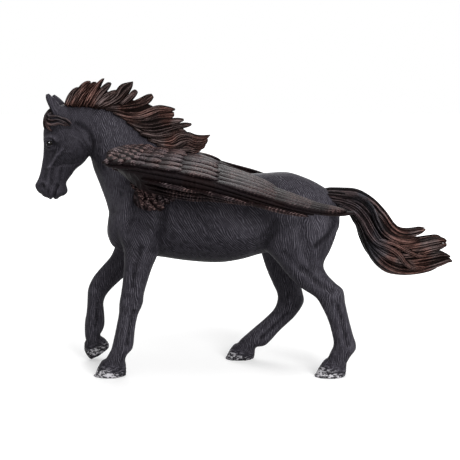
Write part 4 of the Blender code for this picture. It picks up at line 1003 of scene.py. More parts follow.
def ear(rows):
    """A cup: the section is an arc of 280 degrees, r (sin a, -cos a), with a smaller arc inside it."""
    rows = smooth_rows(rows, 6)
    path = rows[:, [0, 2, 1]]
    side = np.sign(path[-1, 1])
    ahead = unit(np.gradient(path, axis=0))
    front = np.array([-0.92, side * 0.38, 0.1])
    opening = unit(front - ahead * (ahead @ front)[:, None])
    wide = np.cross(ahead, opening)
    a = np.linspace(-EAR_ARC / 2, EAR_ARC / 2, EAR_POINTS)
    outer = np.stack([np.sin(a), -np.cos(a)], axis=1)
    inner = outer[::-1] * 0.62
    arc = np.vstack([outer, inner])
    breadth, depth = rows[:, 4], np.maximum(rows[:, 3], 0.4)
    grid = path[:, None] + wide[:, None] * (breadth[:, None] * arc[None, :, 0])[..., None]
    grid += opening[:, None] * (depth[:, None] * arc[None, :, 1])[..., None]
    raised = np.concatenate([np.full(EAR_POINTS, 0.6), np.full(EAR_POINTS, 0.05)])[None, :]
    return skin(grid, raised=raised * np.ones((len(rows), 1)), **NO_PATCH)


placed(piece("ears", [ear(rows) for rows in EARS], coat_paint))

# %% [markdown]
# ## Mane, forelock and tail
#
# Every lock is a tapering loft with a ridged section, so it looks like a bundle of strands, and thin wisps
# follow the same path on top of it. The path is drawn in the side view and leans out from the crest. The
# marks along, around and ridge go to the hair paint.

# %% Hair tools


TWIST, SWAY = 0.7, 1.3  # turns of the strands along a lock, and radians that they sway by


def lock(rows, steps=7, sides=48, strands=8, depth=0.34, tone=0.0):
    """A lock as a bundle of strands with sharp grooves between them: x, z, y, half breadth, half thickness.
    swell = 1 - depth (1 - |sin(turn / 2)|^0.7), turn = strands a + twist s + sway sin s, and the tip is
    round."""
    rows = smooth_rows(rows, steps)
    path = rows[:, [0, 2, 1]]
    ahead = unit(np.gradient(path, axis=0))
    up = unit(np.stack([-ahead[:, 2], np.zeros(len(path)), ahead[:, 0]], axis=1))
    breadth = up * np.maximum(rows[:, 3:4], 0.12)
    along = np.concatenate([[0], np.cumsum(np.linalg.norm(np.diff(path, axis=0), axis=1))])
    s = along / along[-1]
    a = np.linspace(0, 2 * math.pi, sides, endpoint=False)
    uneven = a + 0.22 * np.sin(2 * a + tone * 17) + 0.13 * np.sin(3 * a + tone * 31)
    turn = strands * uneven[None, :] + 2 * math.pi * TWIST * s[:, None]
    turn = turn + SWAY * np.sin(5.0 * s + tone * 11)[:, None]
    bundle = np.abs(np.sin(turn / 2)) ** 0.7
    tip = np.sqrt(np.clip(1 - ((s - 0.93) / 0.075).clip(0, 1) ** 2, 0.12, 1))
    taper = (np.sqrt(np.clip(s * 12, 0.35, 1)) * tip)[:, None, None]
    swell = taper * (1 - depth * (1 - bundle[..., None]))
    grid = rings(path + breadth, path - breadth, rows[:, 4], sides, swell=swell)
    # The ridge mark falls off at the lock's two sides: painted shade where one lock lies against the next.
    ridge = (0.04 + 0.90 * bundle) * (1 - 0.8 * np.abs(np.sin(a))[None, :] ** 5)
    around = np.abs(a / math.pi - 1)[None, :] * np.ones((len(s), 1))
    return skin(grid, along=along[:, None] * np.ones(sides), around=around, ridge=ridge, tone=tone, warm=1.0)


def wisps(rows, count, tone):
    """Thin strands that ride on a lock: each is the lock's path moved across it by a share of its breadth."""
    rows = np.array(rows, float)
    ahead = unit(np.gradient(rows[:, [0, 1]], axis=0))
    up = np.stack([-ahead[:, 1], ahead[:, 0]], axis=1)
    found = []
    for k in range(count):
        share = (k + 0.5) / count * 1.7 - 0.85 + rng.uniform(-0.1, 0.1)
        wave = share + 0.25 * np.sin(np.linspace(0, 3.5, len(rows)) + rng.uniform(0, 6))
        strand = rows.copy()
        strand[:, [0, 1]] += up * (rows[:, 3] * wave)[:, None]
        lift = rows[:, 4] * np.sqrt(np.clip(1 - wave**2, 0.05, 1)) * 0.86
        strand[:, 2] += np.where(rows[:, 2] >= 0, 1, -1) * lift
        strand[:, 3] = np.minimum(rows[:, 3] * 0.30, 0.62)
        strand[:, 4] = np.minimum(rows[:, 4] * 0.30, 0.55)
        found.append(lock(strand, 6, 14, strands=3, depth=0.16, tone=tone + 0.13 * k))
    return found


def hidden_core(rows):
    """The solid body under the locks, with a hair's marks and no ridges."""
    shell = limb(on_midline(rows), sides=24)
    shell["marks"] = {
        "along": shell["points"][:, 0] * 1.0,
        "around": shell["points"][:, 2] * 0.1,
        "ridge": np.full(len(shell["points"]), 0.1),
        "tone": np.zeros(len(shell["points"])),
        "warm": np.ones(len(shell["points"])),
    }
    return shell


# %% Mane
# Locks of the mane, root to tip: x, z, half breadth. Each is laid on both sides of the crest, and every
# second one stands further out by LOCK_STEP.
MANE_SPREAD = 1.8
LOCK_STEP = 0.9
LOCK_THICKNESS = 1.9
MANE = [
    [(-69.8, 106.0, 1.3), (-68.5, 109.2, 1.4), (-66.9, 111.8, 1.1), (-65.6, 113.3, 0.3)],
    [
        (-67.6, 106.0, 1.4), (-65.8, 109.8, 1.6), (-64.1, 112.4, 1.5), (-62.4, 114.5, 1.1),
        (-60.7, 115.6, 0.4),
    ],
    [
        (-65.2, 105.6, 1.4), (-63.1, 109.8, 1.5), (-61.2, 112.5, 1.4), (-59.6, 114.4, 1.0),
        (-58.4, 115.2, 0.4),
    ],
    [
        (-62.4, 105.8, 1.3), (-60.1, 110.3, 1.4), (-58.1, 113.3, 1.1), (-56.5, 115.5, 0.7),
        (-55.3, 116.8, 0.3),
    ],
    [
        (-60.2, 105.6, 1.3), (-57.3, 110.1, 1.5), (-55.4, 112.4, 1.4), (-53.8, 114.1, 1.1),
        (-52.7, 115.0, 0.6),
    ],
    [(-58.8, 105.4, 1.2), (-55.1, 108.9, 1.4), (-52.4, 110.7, 1.3), (-50.2, 111.9, 0.6)],
    [
        (-57.6, 105.2, 1.2), (-53.1, 107.3, 1.6), (-49.8, 109.5, 2.2), (-47.5, 112.3, 2.4),
        (-45.5, 114.0, 1.5), (-44.0, 115.4, 0.3),
    ],
    [(-48.6, 106.4, 1.0), (-45.2, 109.2, 1.2), (-43.7, 111.0, 1.2), (-42.6, 112.0, 0.8)],
    [
        (-54.6, 104.8, 1.2), (-48.1, 105.5, 1.5), (-43.6, 106.3, 1.8), (-40.2, 107.7, 1.9),
        (-38.1, 109.0, 1.7), (-36.3, 110.1, 1.0),
    ],
    [
        (-51.4, 104.0, 1.3), (-46.4, 102.6, 1.5), (-41.4, 102.4, 1.8), (-36.9, 103.9, 1.8),
        (-33.8, 105.0, 1.4), (-30.8, 104.8, 1.2), (-27.6, 104.6, 0.6),
    ],
    [
        (-48.6, 102.2, 1.2), (-43.5, 100.5, 1.5), (-38.3, 100.6, 1.7), (-33.9, 102.2, 1.7),
        (-30.5, 102.6, 1.8), (-28.0, 102.9, 1.4),
    ],
    [
        (-46.0, 100.0, 1.2), (-40.9, 98.1, 1.5), (-35.9, 98.3, 1.6), (-31.1, 99.5, 1.5),
        (-27.2, 100.3, 1.2), (-24.2, 100.6, 0.7),
    ],
    [
        (-43.6, 97.9, 1.1), (-38.8, 96.0, 1.4), (-33.9, 96.2, 1.6), (-29.0, 97.4, 1.5),
        (-24.5, 98.4, 1.2), (-21.1, 98.8, 0.7),
    ],
    [(-41.2, 95.4, 1.1), (-35.5, 94.0, 1.4), (-31.0, 94.5, 1.7), (-27.1, 95.7, 1.5), (-23.2, 95.8, 1.1)],
    [
        (-38.2, 93.4, 1.1), (-32.5, 91.9, 1.4), (-28.8, 92.4, 1.5), (-26.0, 94.2, 1.5),
        (-22.6, 94.6, 1.3), (-19.6, 93.7, 1.2), (-16.4, 93.6, 1.1), (-13.8, 94.6, 0.4),
    ],
    [
        (-34.6, 91.4, 1.1), (-28.7, 90.4, 1.3), (-25.4, 91.9, 1.4), (-22.7, 92.7, 1.4),
        (-19.6, 91.6, 1.6), (-16.8, 91.9, 1.5), (-14.8, 93.0, 0.9),
    ],
    [
        (-31.4, 90.0, 1.0), (-26.1, 89.6, 1.2), (-23.0, 90.8, 1.3), (-20.2, 90.0, 1.4),
        (-17.4, 90.2, 1.3), (-15.7, 91.2, 0.7),
    ],
    [(-28.0, 88.6, 0.9), (-22.7, 89.0, 1.1), (-19.9, 88.4, 1.1), (-17.5, 88.9, 0.5)],
]
# Fin under the locks: outer x, outer z, root x, root z, half width
MANE_CORE = [
    (-70.0, 107.5, -70.5, 103.5, 1.8),
    (-66.0, 111.0, -66.5, 103.0, 2.2),
    (-60.5, 113.0, -61.5, 102.5, 2.4),
    (-55.0, 112.0, -56.5, 102.0, 2.4),
    (-49.5, 110.0, -52.0, 100.5, 2.4),
    (-44.0, 108.3, -48.5, 97.5, 2.4),
    (-38.5, 107.0, -45.0, 94.0, 2.4),
    (-33.0, 104.0, -41.5, 90.5, 2.4),
    (-28.0, 100.4, -37.0, 88.0, 2.2),
    (-23.5, 96.4, -31.0, 86.5, 1.9),
    (-18.0, 92.4, -25.0, 85.5, 1.6),
]


def mane_side(side):
    """All locks on one side of the crest, leaning out at the root and in at the tip."""
    shells = []
    for i, rows in enumerate(MANE):
        share = np.linspace(0, 1, len(rows))
        lean = side * (MANE_SPREAD + LOCK_STEP * (i % 2)) * (1 - 0.95 * share)
        thick = LOCK_THICKNESS * (1 - 0.7 * share)
        path = [(px, pz, py, half, t) for (px, pz, half), py, t in zip(rows, lean, thick)]
        tone = rng.uniform(0, 1)
        shells.append(lock(path, tone=tone))
        shells += wisps(path, 2, tone)
    for shell in shells:
        shell["marks"]["ridge"] = shell["marks"]["ridge"] ** 1.3 * 1.12
    return shells


placed(piece("mane_left", mane_side(-1), hair_paint))
placed(piece("mane_right", mane_side(1), hair_paint))
placed(piece("mane_core", [hidden_core(MANE_CORE)], hair_paint))

# %% Forelock
# Forelock, from between the ears across the temple: x, z, y, half breadth, half thickness
FORELOCK = [
    [
        (-71.6, 105.6, -0.6, 1.0, 1.0), (-75.6, 104.4, -1.6, 1.1, 1.1), (-77.6, 102.2, -2.4, 1.1, 1.0),
        (-78.4, 99.6, -3.0, 0.8, 0.9), (-78.5, 97.2, -3.4, 0.3, 0.4),
    ],
    [
        (-73.2, 104.8, -1.6, 0.9, 0.9), (-76.6, 102.8, -3.2, 0.8, 0.9), (-75.7, 102.0, -4.5, 0.7, 0.7),
        (-73.4, 102.1, -5.3, 0.7, 0.6), (-71.2, 101.3, -5.6, 0.7, 0.6), (-69.4, 100.8, -5.5, 0.6, 0.5),
        (-67.4, 99.0, -5.2, 0.25, 0.3),
    ],
    [
        (-75.4, 103.8, -2.4, 0.8, 0.8), (-77.0, 101.0, -3.8, 0.8, 0.8), (-75.0, 100.2, -4.9, 0.7, 0.7),
        (-72.9, 100.5, -5.5, 0.7, 0.6), (-70.6, 99.9, -5.7, 0.6, 0.5), (-67.8, 98.3, -5.5, 0.25, 0.3),
    ],
    [
        (-77.2, 101.6, -3.0, 0.8, 0.8), (-77.2, 99.4, -4.0, 0.7, 0.7), (-75.1, 98.8, -5.1, 0.7, 0.6),
        (-72.3, 99.2, -5.8, 0.6, 0.5), (-69.4, 98.4, -5.9, 0.25, 0.3),
    ],
    [(-77.6, 100.6, -3.4, 0.8, 0.8), (-77.0, 98.0, -4.5, 0.8, 0.7), (-75.2, 96.2, -5.5, 0.3, 0.3)],
    [
        (-71.6, 105.6, 0.6, 1.0, 1.0), (-75.4, 104.2, 2.0, 1.1, 1.1), (-77.2, 101.6, 3.2, 1.0, 1.0),
        (-77.8, 99.2, 4.0, 0.7, 0.8), (-77.6, 97.0, 4.6, 0.3, 0.4),
    ],
    [
        (-73.2, 104.8, 1.6, 0.9, 0.9), (-76.2, 102.4, 3.6, 0.8, 0.8), (-73.6, 101.6, 5.2, 0.7, 0.6),
        (-70.8, 100.6, 5.6, 0.6, 0.5), (-68.2, 99.0, 5.4, 0.25, 0.3),
    ],
]
FORELOCK_BROWN = 0.35  # between grey-black (0) and brown (1)
forelock = []
for rows in FORELOCK:
    tone = rng.uniform(0, 1)
    crossing = len(rows) >= 5 and rows[-1][0] > -70.0  # the strands that cross the temple catch more paint
    base = lock(rows, 8, 32, strands=2 if crossing else 6, depth=0.50, tone=tone)
    base["marks"]["ridge"] = base["marks"]["ridge"] * (1.5 if crossing else 0.55)
    forelock.append(base)
    forelock += wisps(rows, 1 if crossing else 3, tone)
for shell in forelock:
    shell["marks"]["warm"] = np.full(len(shell["points"]), FORELOCK_BROWN)
placed(piece("forelock", forelock, hair_paint))

# %% Tail
# Strands of the tail, dock to tip: x, z, y, half breadth, half thickness. Those beside the midline are
# repeated on the far side, a little shorter (back) and higher (up) towards their tips. The last ones cross
# over the rest.
FAR_STRANDS = {"back": 1.2, "up": 0.6}
TAIL = [
    [
        (29.0, 71.8, 0.0, 2.4, 3.2), (38.4, 72.0, 0.0, 2.0, 3.2), (44.4, 71.4, 0.0, 2.0, 3.2),
        (49.8, 68.2, 0.0, 2.1, 3.2), (54.5, 63.4, 0.0, 2.1, 3.0), (58.3, 58.4, 0.0, 2.0, 2.8),
        (62.0, 56.0, 0.0, 1.9, 2.6), (66.4, 55.8, 0.0, 1.8, 2.3), (70.0, 56.6, 0.0, 1.5, 1.9),
        (72.2, 57.0, 0.0, 0.9, 1.2),
    ],
    [
        (30.0, 71.0, -2.0, 2.2, 3.0), (37.4, 70.6, -3.0, 1.9, 2.8), (43.7, 69.4, -3.6, 1.9, 2.8),
        (48.4, 65.8, -4.0, 1.9, 2.8), (51.8, 60.8, -4.2, 1.9, 2.8), (55.2, 56.0, -4.2, 1.9, 2.7),
        (59.9, 53.4, -4.0, 1.8, 2.5), (64.9, 53.4, -3.4, 1.6, 2.0), (69.4, 54.2, -2.8, 0.7, 1.0),
    ],
    [
        (31.0, 70.2, -2.6, 2.0, 2.8), (38.0, 69.2, -4.0, 1.8, 2.6), (43.3, 67.2, -4.6, 1.8, 2.7),
        (47.3, 63.2, -5.0, 1.8, 2.7), (50.2, 58.2, -5.2, 1.8, 2.7), (53.1, 54.0, -5.2, 1.9, 2.7),
        (58.1, 51.2, -4.8, 2.0, 2.5), (64.1, 50.8, -4.0, 1.9, 2.3), (70.0, 51.6, -3.2, 1.7, 2.0),
        (74.6, 52.5, -2.0, 1.6, 1.7), (78.4, 53.0, -1.6, 1.4, 1.4), (80.4, 52.2, -1.2, 0.8, 0.9),
    ],
    [
        (36.1, 67.9, -3.0, 1.7, 2.4), (41.3, 65.9, -4.6, 1.8, 2.5), (45.7, 62.0, -5.2, 1.8, 2.6),
        (48.4, 57.2, -5.4, 1.9, 2.7), (51.2, 52.8, -5.6, 1.9, 2.7), (56.2, 49.4, -5.2, 2.0, 2.6),
        (62.2, 48.0, -4.4, 2.0, 2.4), (68.1, 48.2, -3.0, 1.8, 2.1), (73.1, 49.3, -1.9, 1.6, 1.8),
        (77.3, 50.3, -1.4, 1.4, 1.5), (80.6, 51.2, -1.0, 0.8, 0.9),
    ],
    [
        (39.3, 66.0, -2.6, 1.6, 2.2), (43.9, 63.0, -4.2, 1.7, 2.4), (46.7, 58.6, -4.8, 1.8, 2.6),
        (48.8, 53.6, -5.2, 1.9, 2.7), (52.7, 49.4, -5.2, 2.0, 2.7), (58.1, 46.2, -4.6, 2.1, 2.6),
        (64.1, 44.8, -3.8, 2.0, 2.3), (70.0, 45.2, -2.6, 1.8, 2.0), (75.2, 46.1, -1.7, 1.6, 1.7),
        (79.2, 46.7, -1.2, 1.4, 1.4), (82.2, 46.2, -0.9, 0.9, 0.9),
    ],
    [
        (41.6, 64.2, -1.6, 1.5, 2.2), (45.9, 59.3, -3.0, 1.7, 2.4), (48.0, 53.8, -3.6, 1.8, 2.6),
        (50.9, 48.6, -4.0, 2.0, 2.8), (54.8, 44.6, -3.8, 2.1, 2.8), (59.8, 41.9, -3.2, 2.1, 2.5),
        (65.9, 41.1, -2.6, 1.9, 2.2), (71.8, 42.0, -1.9, 1.7, 1.9), (77.1, 43.5, -1.4, 1.5, 1.6),
        (81.0, 44.8, -1.1, 1.3, 1.3), (83.0, 44.4, -0.9, 0.8, 0.9),
    ],
    [
        (44.2, 60.6, 0.0, 1.4, 2.4), (47.4, 54.6, 0.0, 1.5, 2.8), (50.0, 48.8, 0.0, 1.6, 3.0),
        (53.1, 44.3, 0.0, 1.7, 3.0), (57.2, 41.0, 0.0, 1.6, 2.6), (62.3, 39.7, 0.0, 1.3, 2.0),
        (67.6, 39.6, 0.0, 1.0, 1.5), (72.9, 40.3, 0.0, 0.7, 1.0), (76.9, 41.4, 0.0, 0.4, 0.5),
    ],
    [
        (39.5, 67.5, -4.6, 1.0, 1.5), (45.2, 62.1, -6.6, 1.2, 1.9), (48.1, 56.8, -7.2, 1.3, 1.9),
        (51.6, 52.9, -7.6, 1.3, 1.9), (56.3, 51.0, -7.2, 1.4, 1.9), (60.6, 48.3, -6.4, 1.4, 1.8),
        (63.7, 44.5, -5.4, 1.3, 1.7), (67.6, 42.3, -4.3, 1.2, 1.4), (72.5, 42.3, -3.2, 0.5, 0.7),
    ],
    [
        (37.0, 71.5, -2.6, 1.0, 1.6), (44.5, 70.6, -4.4, 1.2, 1.9), (49.2, 66.6, -5.6, 1.3, 2.0),
        (51.6, 61.4, -6.4, 1.3, 2.0), (54.3, 57.2, -6.4, 1.3, 1.9), (58.6, 54.4, -5.9, 1.4, 1.8),
        (63.9, 53.1, -4.8, 1.3, 1.5), (69.4, 53.2, -3.6, 0.5, 0.7),
    ],
    [
        (50.7, 54.8, -6.0, 1.0, 1.4), (55.0, 53.1, -6.9, 1.1, 1.7), (58.6, 52.1, -6.8, 1.2, 1.7),
        (63.3, 49.5, -5.8, 1.2, 1.6), (67.9, 47.5, -4.6, 1.1, 1.4), (72.6, 47.0, -3.4, 0.5, 0.7),
    ],
]
# Body of the tail under the strands: upper x, upper z, lower x, lower z, half width
TAIL_CORE = [
    (33.0, 71.5, 34.0, 68.5, 3.0),
    (42.0, 70.2, 40.5, 65.5, 3.6),
    (50.2, 66.6, 45.5, 58.0, 4.2),
    (55.2, 61.4, 49.0, 50.5, 4.6),
    (59.4, 56.6, 54.5, 44.6, 4.4),
    (64.0, 53.4, 62.0, 42.2, 3.4),
    (69.0, 51.2, 69.0, 43.4, 2.4),
    (73.0, 49.4, 73.0, 45.4, 1.6),
]
TAIL_BROWN_FROM = 46.0, 64.0  # x between which the grey-black root turns brown


def far_strand(rows):
    """A strand's rows on the other side of the midline."""
    share = np.linspace(0, 1, len(rows))
    back, up = FAR_STRANDS["back"] * share, FAR_STRANDS["up"] * share
    return [(x - b, z + u, -y, half, thick) for (x, z, y, half, thick), b, u in zip(rows, back, up)]


tail = [hidden_core(TAIL_CORE)]
for rows in TAIL + [far_strand(rows) for rows in TAIL if rows[-1][2]]:
    tone = rng.uniform(0, 1)
    tail.append(lock(rows, 6, 44, strands=6 if rows[3][3] > 1.5 else 4, depth=0.42, tone=tone))
    tail += wisps(rows, 2, tone)
for shell in tail:
    shell["marks"]["warm"] = blend(shell["points"][:, 0], *TAIL_BROWN_FROM)
    shell["marks"]["ridge"] = shell["marks"]["ridge"] ** 1.5 * (1.12 + 0.16 * shell["marks"]["warm"])
placed(piece("tail", tail, hair_paint))

# %% [markdown]
# ## Wings
#
# A wing is a thick blade with feathers laid on it like roof tiles: small coverts at the front, longer ones
# behind, and the long primaries at the tip. Each feather is a thin lens with a raised quill. Its root sinks
# into the blade and its tip lifts, so the next row shows a real edge and throws a real shadow. Painted shade
# lies there too: each feather is painted darker just under the next one's tip and along its own edges.

# %% Wing rows
# Left wing, front to tip: inner edge x, y, z, outer edge x, y, z, half thickness. The right wing mirrors it.
WING = [
    (-47.6, -31.0, 88.2, -50.4, -38.0, 86.4, 1.0),
    (-45.4, -24.0, 89.4, -50.0, -40.4, 85.6, 1.8),
    (-41.0, -14.0, 89.2, -47.0, -41.8, 85.0, 2.2),
    (-34.0, -7.0, 88.6, -39.5, -42.4, 84.2, 2.2),
    (-25.0, -4.5, 87.4, -30.0, -42.8, 82.4, 2.1),
    (-15.0, -4.5, 85.0, -18.0, -43.0, 80.0, 2.0),
    (-6.0, -7.0, 81.4, -6.4, -43.0, 76.8, 1.8),
    (4.0, -14.5, 77.8, 4.0, -43.0, 73.6, 1.6),
    (14.0, -24.0, 73.9, 14.0, -42.6, 70.6, 1.3),
    (24.0, -31.0, 70.8, 24.0, -42.0, 68.4, 1.1),
    (33.0, -35.5, 68.9, 33.0, -41.0, 67.6, 0.9),
    (38.6, -38.0, 68.4, 38.6, -39.6, 68.1, 0.4),
]
# The wing's fleshy root and underside, in the same form. ROOT_SWELL makes it thicker near the body.
ROOT_SWELL = 0.5
WING_ROOT = [
    (-37.0, -11.0, 78.5, -48.5, -38.0, 86.0, 3.0),
    (-34.0, -9.0, 78.6, -42.0, -41.0, 83.8, 5.8),
    (-26.0, -8.0, 78.8, -31.0, -41.6, 81.4, 6.6),
    (-17.0, -8.0, 77.8, -18.5, -41.8, 78.8, 6.0),
    (-8.0, -9.0, 76.4, -7.0, -41.8, 75.8, 4.6),
    (0.0, -17.0, 74.6, 3.0, -41.8, 72.8, 2.8),
    (9.0, -26.0, 72.0, 14.0, -41.6, 69.7, 1.8),
    (20.0, -33.0, 69.6, 24.0, -41.0, 67.7, 1.3),
]
# The arm under the wing's front, shoulder to wrist: x, z, y, half breadth, half thickness
WING_ARM = [
    (-39.0, 69.0, -9.0, 6.5, 4.6),
    (-35.5, 73.5, -14.0, 6.0, 4.4),
    (-36.5, 79.5, -20.0, 5.2, 4.0),
    (-41.0, 84.0, -28.0, 3.8, 3.4),
    (-47.0, 86.0, -36.0, 2.6, 2.6),
]
# Rows of feathers on the upper and the lower face: start x at the inner edge and at the outer edge, length,
# number and half breadth. across is the strip of the wing they cover, 0 at the inner edge and 1 at the outer.
FEATHER_LIFT = 0.9
FEATHER_THICKNESS = 0.8
UPPER_FEATHERS = [
    {"start": (-46.0, -50.0), "length": 8.0, "number": 6, "half": 3.2, "across": (0.10, 0.97)},
    {"start": (-42.0, -45.0), "length": 9.0, "number": 6, "half": 3.3, "across": (0.08, 0.97)},
    {"start": (-38.0, -40.0), "length": 9.5, "number": 6, "half": 3.4, "across": (0.06, 0.97)},
    {"start": (-33.0, -34.5), "length": 11.0, "number": 6, "half": 3.5, "across": (0.06, 0.97)},
    {"start": (-26.0, -27.5), "length": 17.0, "number": 6, "half": 3.5, "across": (0.05, 0.97)},
    {"start": (-13.0, -14.0), "length": 25.0, "number": 6, "half": 3.1, "across": (0.10, 0.97)},
    {"start": (2.0, 0.0), "length": 26.0, "number": 5, "half": 2.6, "across": (0.20, 0.96)},
    {"start": (10.0, 6.0), "length": 28.0, "number": 4, "half": 2.2, "across": (0.30, 0.95)},
]
LOWER_FEATHERS = [
    {"start": (-33.0, -38.0), "length": 22.0, "number": 5, "half": 3.4, "across": (0.22, 0.96)},
    {"start": (-20.0, -22.0), "length": 24.0, "number": 5, "half": 3.2, "across": (0.24, 0.96)},
    {"start": (-8.0, -6.0), "length": 28.0, "number": 4, "half": 2.6, "across": (0.30, 0.96)},
]
# Feathers over the shoulder: root x, z, y, tip x, z, y, half breadth
TUFT_THICKNESS = 1.4
TUFT = [
    (-37.0, 76.0, -13.5, -29.0, 69.0, -16.0, 2.2),
    (-39.0, 73.0, -12.6, -32.0, 66.4, -15.0, 2.2),
    (-34.0, 78.5, -15.5, -25.0, 71.6, -16.6, 2.2),
]

# %% Wing surfaces
WING_TABLE, ROOT_TABLE = smooth_rows(WING, 5), smooth_rows(WING_ROOT, 5)


def face_point(table, x, across, up, swell=0.0):
    """A point on a wing loft's upper (up = 1) or lower (up = -1) face, across = 0 at its inner edge, 1 at its
    outer: height = middle + up x thickness x 2 sqrt(across (1 - across)) (1 + swell (1 - 2 across))."""
    along = table[:, 0] * (1 - across) + table[:, 3] * across
    edges = [np.interp(x, along, table[:, k]) for k in range(7)]
    y = edges[1] * (1 - across) + edges[4] * across
    z = edges[2] * (1 - across) + edges[5] * across
    thick = edges[6] * 2 * math.sqrt(max(across * (1 - across), 0)) * (1 + swell * (1 - 2 * across))
    return np.array([x, y, z + up * thick])


def feather(
    points, half, thickness, tone, sides=22, steps=6, shown=0.8, paint_share=1.0, root=0.24, comb=1.0
):
    """A blade along a path. Half breadth = half sqrt(1 - ((s - 0.45) / 0.56)^2), with a ridge for the quill.
    shown is the share of its length that the next feather leaves open: its ridge starts at root there and
    rises after. paint_share is how much of the paint it catches. comb turns the barbs: at 1 they run across
    the feather, and above 2 nearly along it."""
    path = smooth_rows(points, steps)
    s = np.linspace(0, 1, len(path))
    shape = np.sqrt(np.clip(1 - ((s - 0.45) / 0.56) ** 2, 0, None)) + 0.05
    ahead = unit(np.gradient(path, axis=0))
    across = unit(np.cross(ahead, (0, -0.1, 1)))
    over = np.cross(across, ahead)
    a = np.linspace(0, 2 * math.pi, sides, endpoint=False)
    flat = np.sign(np.cos(a)) * np.abs(np.cos(a)) ** 0.85
    grid = path[:, None] + across[:, None] * (half * shape[:, None] * flat[None, :])[..., None]
    quill = 0.5 * np.exp(-((flat / 0.14) ** 2))[None, :] * (1 - 0.6 * s[:, None])
    lens = (thickness * shape)[:, None] * np.sin(a)[None, :] * (1 + quill)
    grid += over[:, None] * lens[..., None]
    along = np.concatenate([[0], np.cumsum(np.linalg.norm(np.diff(path, axis=0), axis=1))])
    # Painted shade: the ridge mark stays low over the first part of what the next feather leaves open, so the
    # paint is darker just under that feather's tip.
    ridge = root + (0.68 - root) * blend(s[:, None], 1 - 1.05 * shown, 1 - 0.70 * shown) + 0.25 * quill
    # Painted shade: the paint is darker at the feather's side edges and its very tip, in the gaps between
    # feathers.
    edge, tip = 1 - 0.65 * np.abs(flat)[None, :] ** 8, 1 - 0.7 * blend(s[:, None], 0.96, 1.0)
    ridge = ridge * edge * tip * paint_share
    marks = {
        "along": along[:, None] * np.ones(sides),
        "across": comb * half * flat[None, :] * np.ones((len(s), 1)),
        "ridge": ridge.clip(0, 1),
        "tone": tone,
    }
    return skin(grid, **marks)


def row_of_feathers(row, table, up, swell=0.0, raised=0.0, shift=0.0, **look):
    """Feathers side by side, roots sunk in the wing's face and tips standing off it. raised lifts the row,
    and shift moves it sideways by that share of a feather's breadth."""
    inner, outer = row["across"]
    found = []
    for k in range(row["number"]):
        across = inner + (outer - inner) * (k + 0.5 + shift + rng.uniform(-0.12, 0.12)) / row["number"]
        across = min(max(across, 0.02), 0.985)
        front = table[0, 0] * (1 - across) + table[0, 3] * across
        start = row["start"][0] * (1 - across) + row["start"][1] * across
        length = row["length"] * rng.uniform(0.94, 1.04)
        path = []
        for t, lift in ((0, -0.6), (0.35, -0.1), (0.7, 0.3), (1, 0.5)):
            point = face_point(table, max(start + length * t, front + 0.3 + t), across, up, swell)
            path.append(point + (0, 0, up * (lift * FEATHER_LIFT + raised)))
        half = row["half"] * rng.uniform(0.92, 1.08)
        found.append(feather(path, half, FEATHER_THICKNESS, rng.uniform(0, 1), **look))
    return found


def plain(shell):
    """The shell with a feather's marks, for the wing's blade, root and arm."""
    shell["marks"] = {
        "along": shell["points"][:, 0] * 0.6,
        "across": shell["points"][:, 2] * 0.3,
        "ridge": np.full(len(shell["points"]), 0.12),
        "tone": np.zeros(len(shell["points"])),
    }
    return shell


def wing_loft(table, swell=0.0):
    """A closed loft over a table of the wing's sections."""
    return plain(skin(rings(table[:, :3], table[:, 3:6], table[:, 6], 40, -swell)))


# Rows of small coverts at the front: x of the first row's outer tips, gap between rows, and how much further
# back the inner ones are
SMALL_ROWS = {
    "rows": 5, "first_tip": -48.2, "gap": 2.3, "slant": 3.6, "length": 5.0, "number": 7, "half": 2.5,
    "across": (0.04, 0.98),
}
SMALL_LOOK = {"sides": 16, "steps": 5, "shown": 0.5, "root": 0.05, "paint_share": 1.15, "comb": 2.6}
SMALL_SHIFT = 0.25  # how far every second small row is moved sideways, in feathers
# Curled feathers where the wing joins the shoulder: first and last root x, z, y, and the step between columns
CURLED = {
    "first": (-41.0, 79.0, -16.2), "last": (-34.5, 69.5, -18.2), "step": (2.3, 1.0, 0.5),
    "columns": 4, "rows": 6, "length": 4.6, "half": 1.4, "thickness": 0.6,
}
CURLED_LOOK = {"sides": 14, "steps": 4, "shown": 0.75, "paint_share": 1.15, "root": 0.08}


def tuft_feathers():
    """Small curled feathers in staggered rows, each turned a little from its neighbours."""
    first, last = np.array(CURLED["first"]), np.array(CURLED["last"])
    found = []
    for r in range(CURLED["rows"]):
        for c in range(CURLED["columns"]):
            down = (r + 0.5 * (c % 2)) / CURLED["rows"]
            root = first + (last - first) * down + np.array(CURLED["step"]) * (c - 1)
            turn = -0.9 + rng.uniform(-0.5, 0.5)
            ahead = np.array([math.cos(turn), math.sin(turn), -0.15])
            ahead = ahead * CURLED["length"] * rng.uniform(0.85, 1.15)
            path = [root, root + ahead * 0.5 + (0, 0, -0.5), root + ahead + (0, 0, -0.9)]
            path = [(px, py, pz) for px, pz, py in path]
            tone = rng.uniform(0, 1)
            found.append(feather(path, CURLED["half"], CURLED["thickness"], tone, **CURLED_LOOK))
    return found


arm_rows = smooth_rows(WING_ARM, 6)
arm_path = arm_rows[:, [0, 2, 1]]
arm_ahead = np.gradient(arm_path, axis=0)
arm_up = np.stack([-arm_ahead[:, 2], np.zeros(len(arm_path)), arm_ahead[:, 0]], axis=1)
arm_up = unit(arm_up) * arm_rows[:, 3:4]
arm = plain(skin(rings(arm_path + arm_up, arm_path - arm_up, arm_rows[:, 4], 28)))
arm["marks"]["ridge"] += 0.30
wing_shells = [wing_loft(WING_TABLE), wing_loft(ROOT_TABLE, ROOT_SWELL), arm]
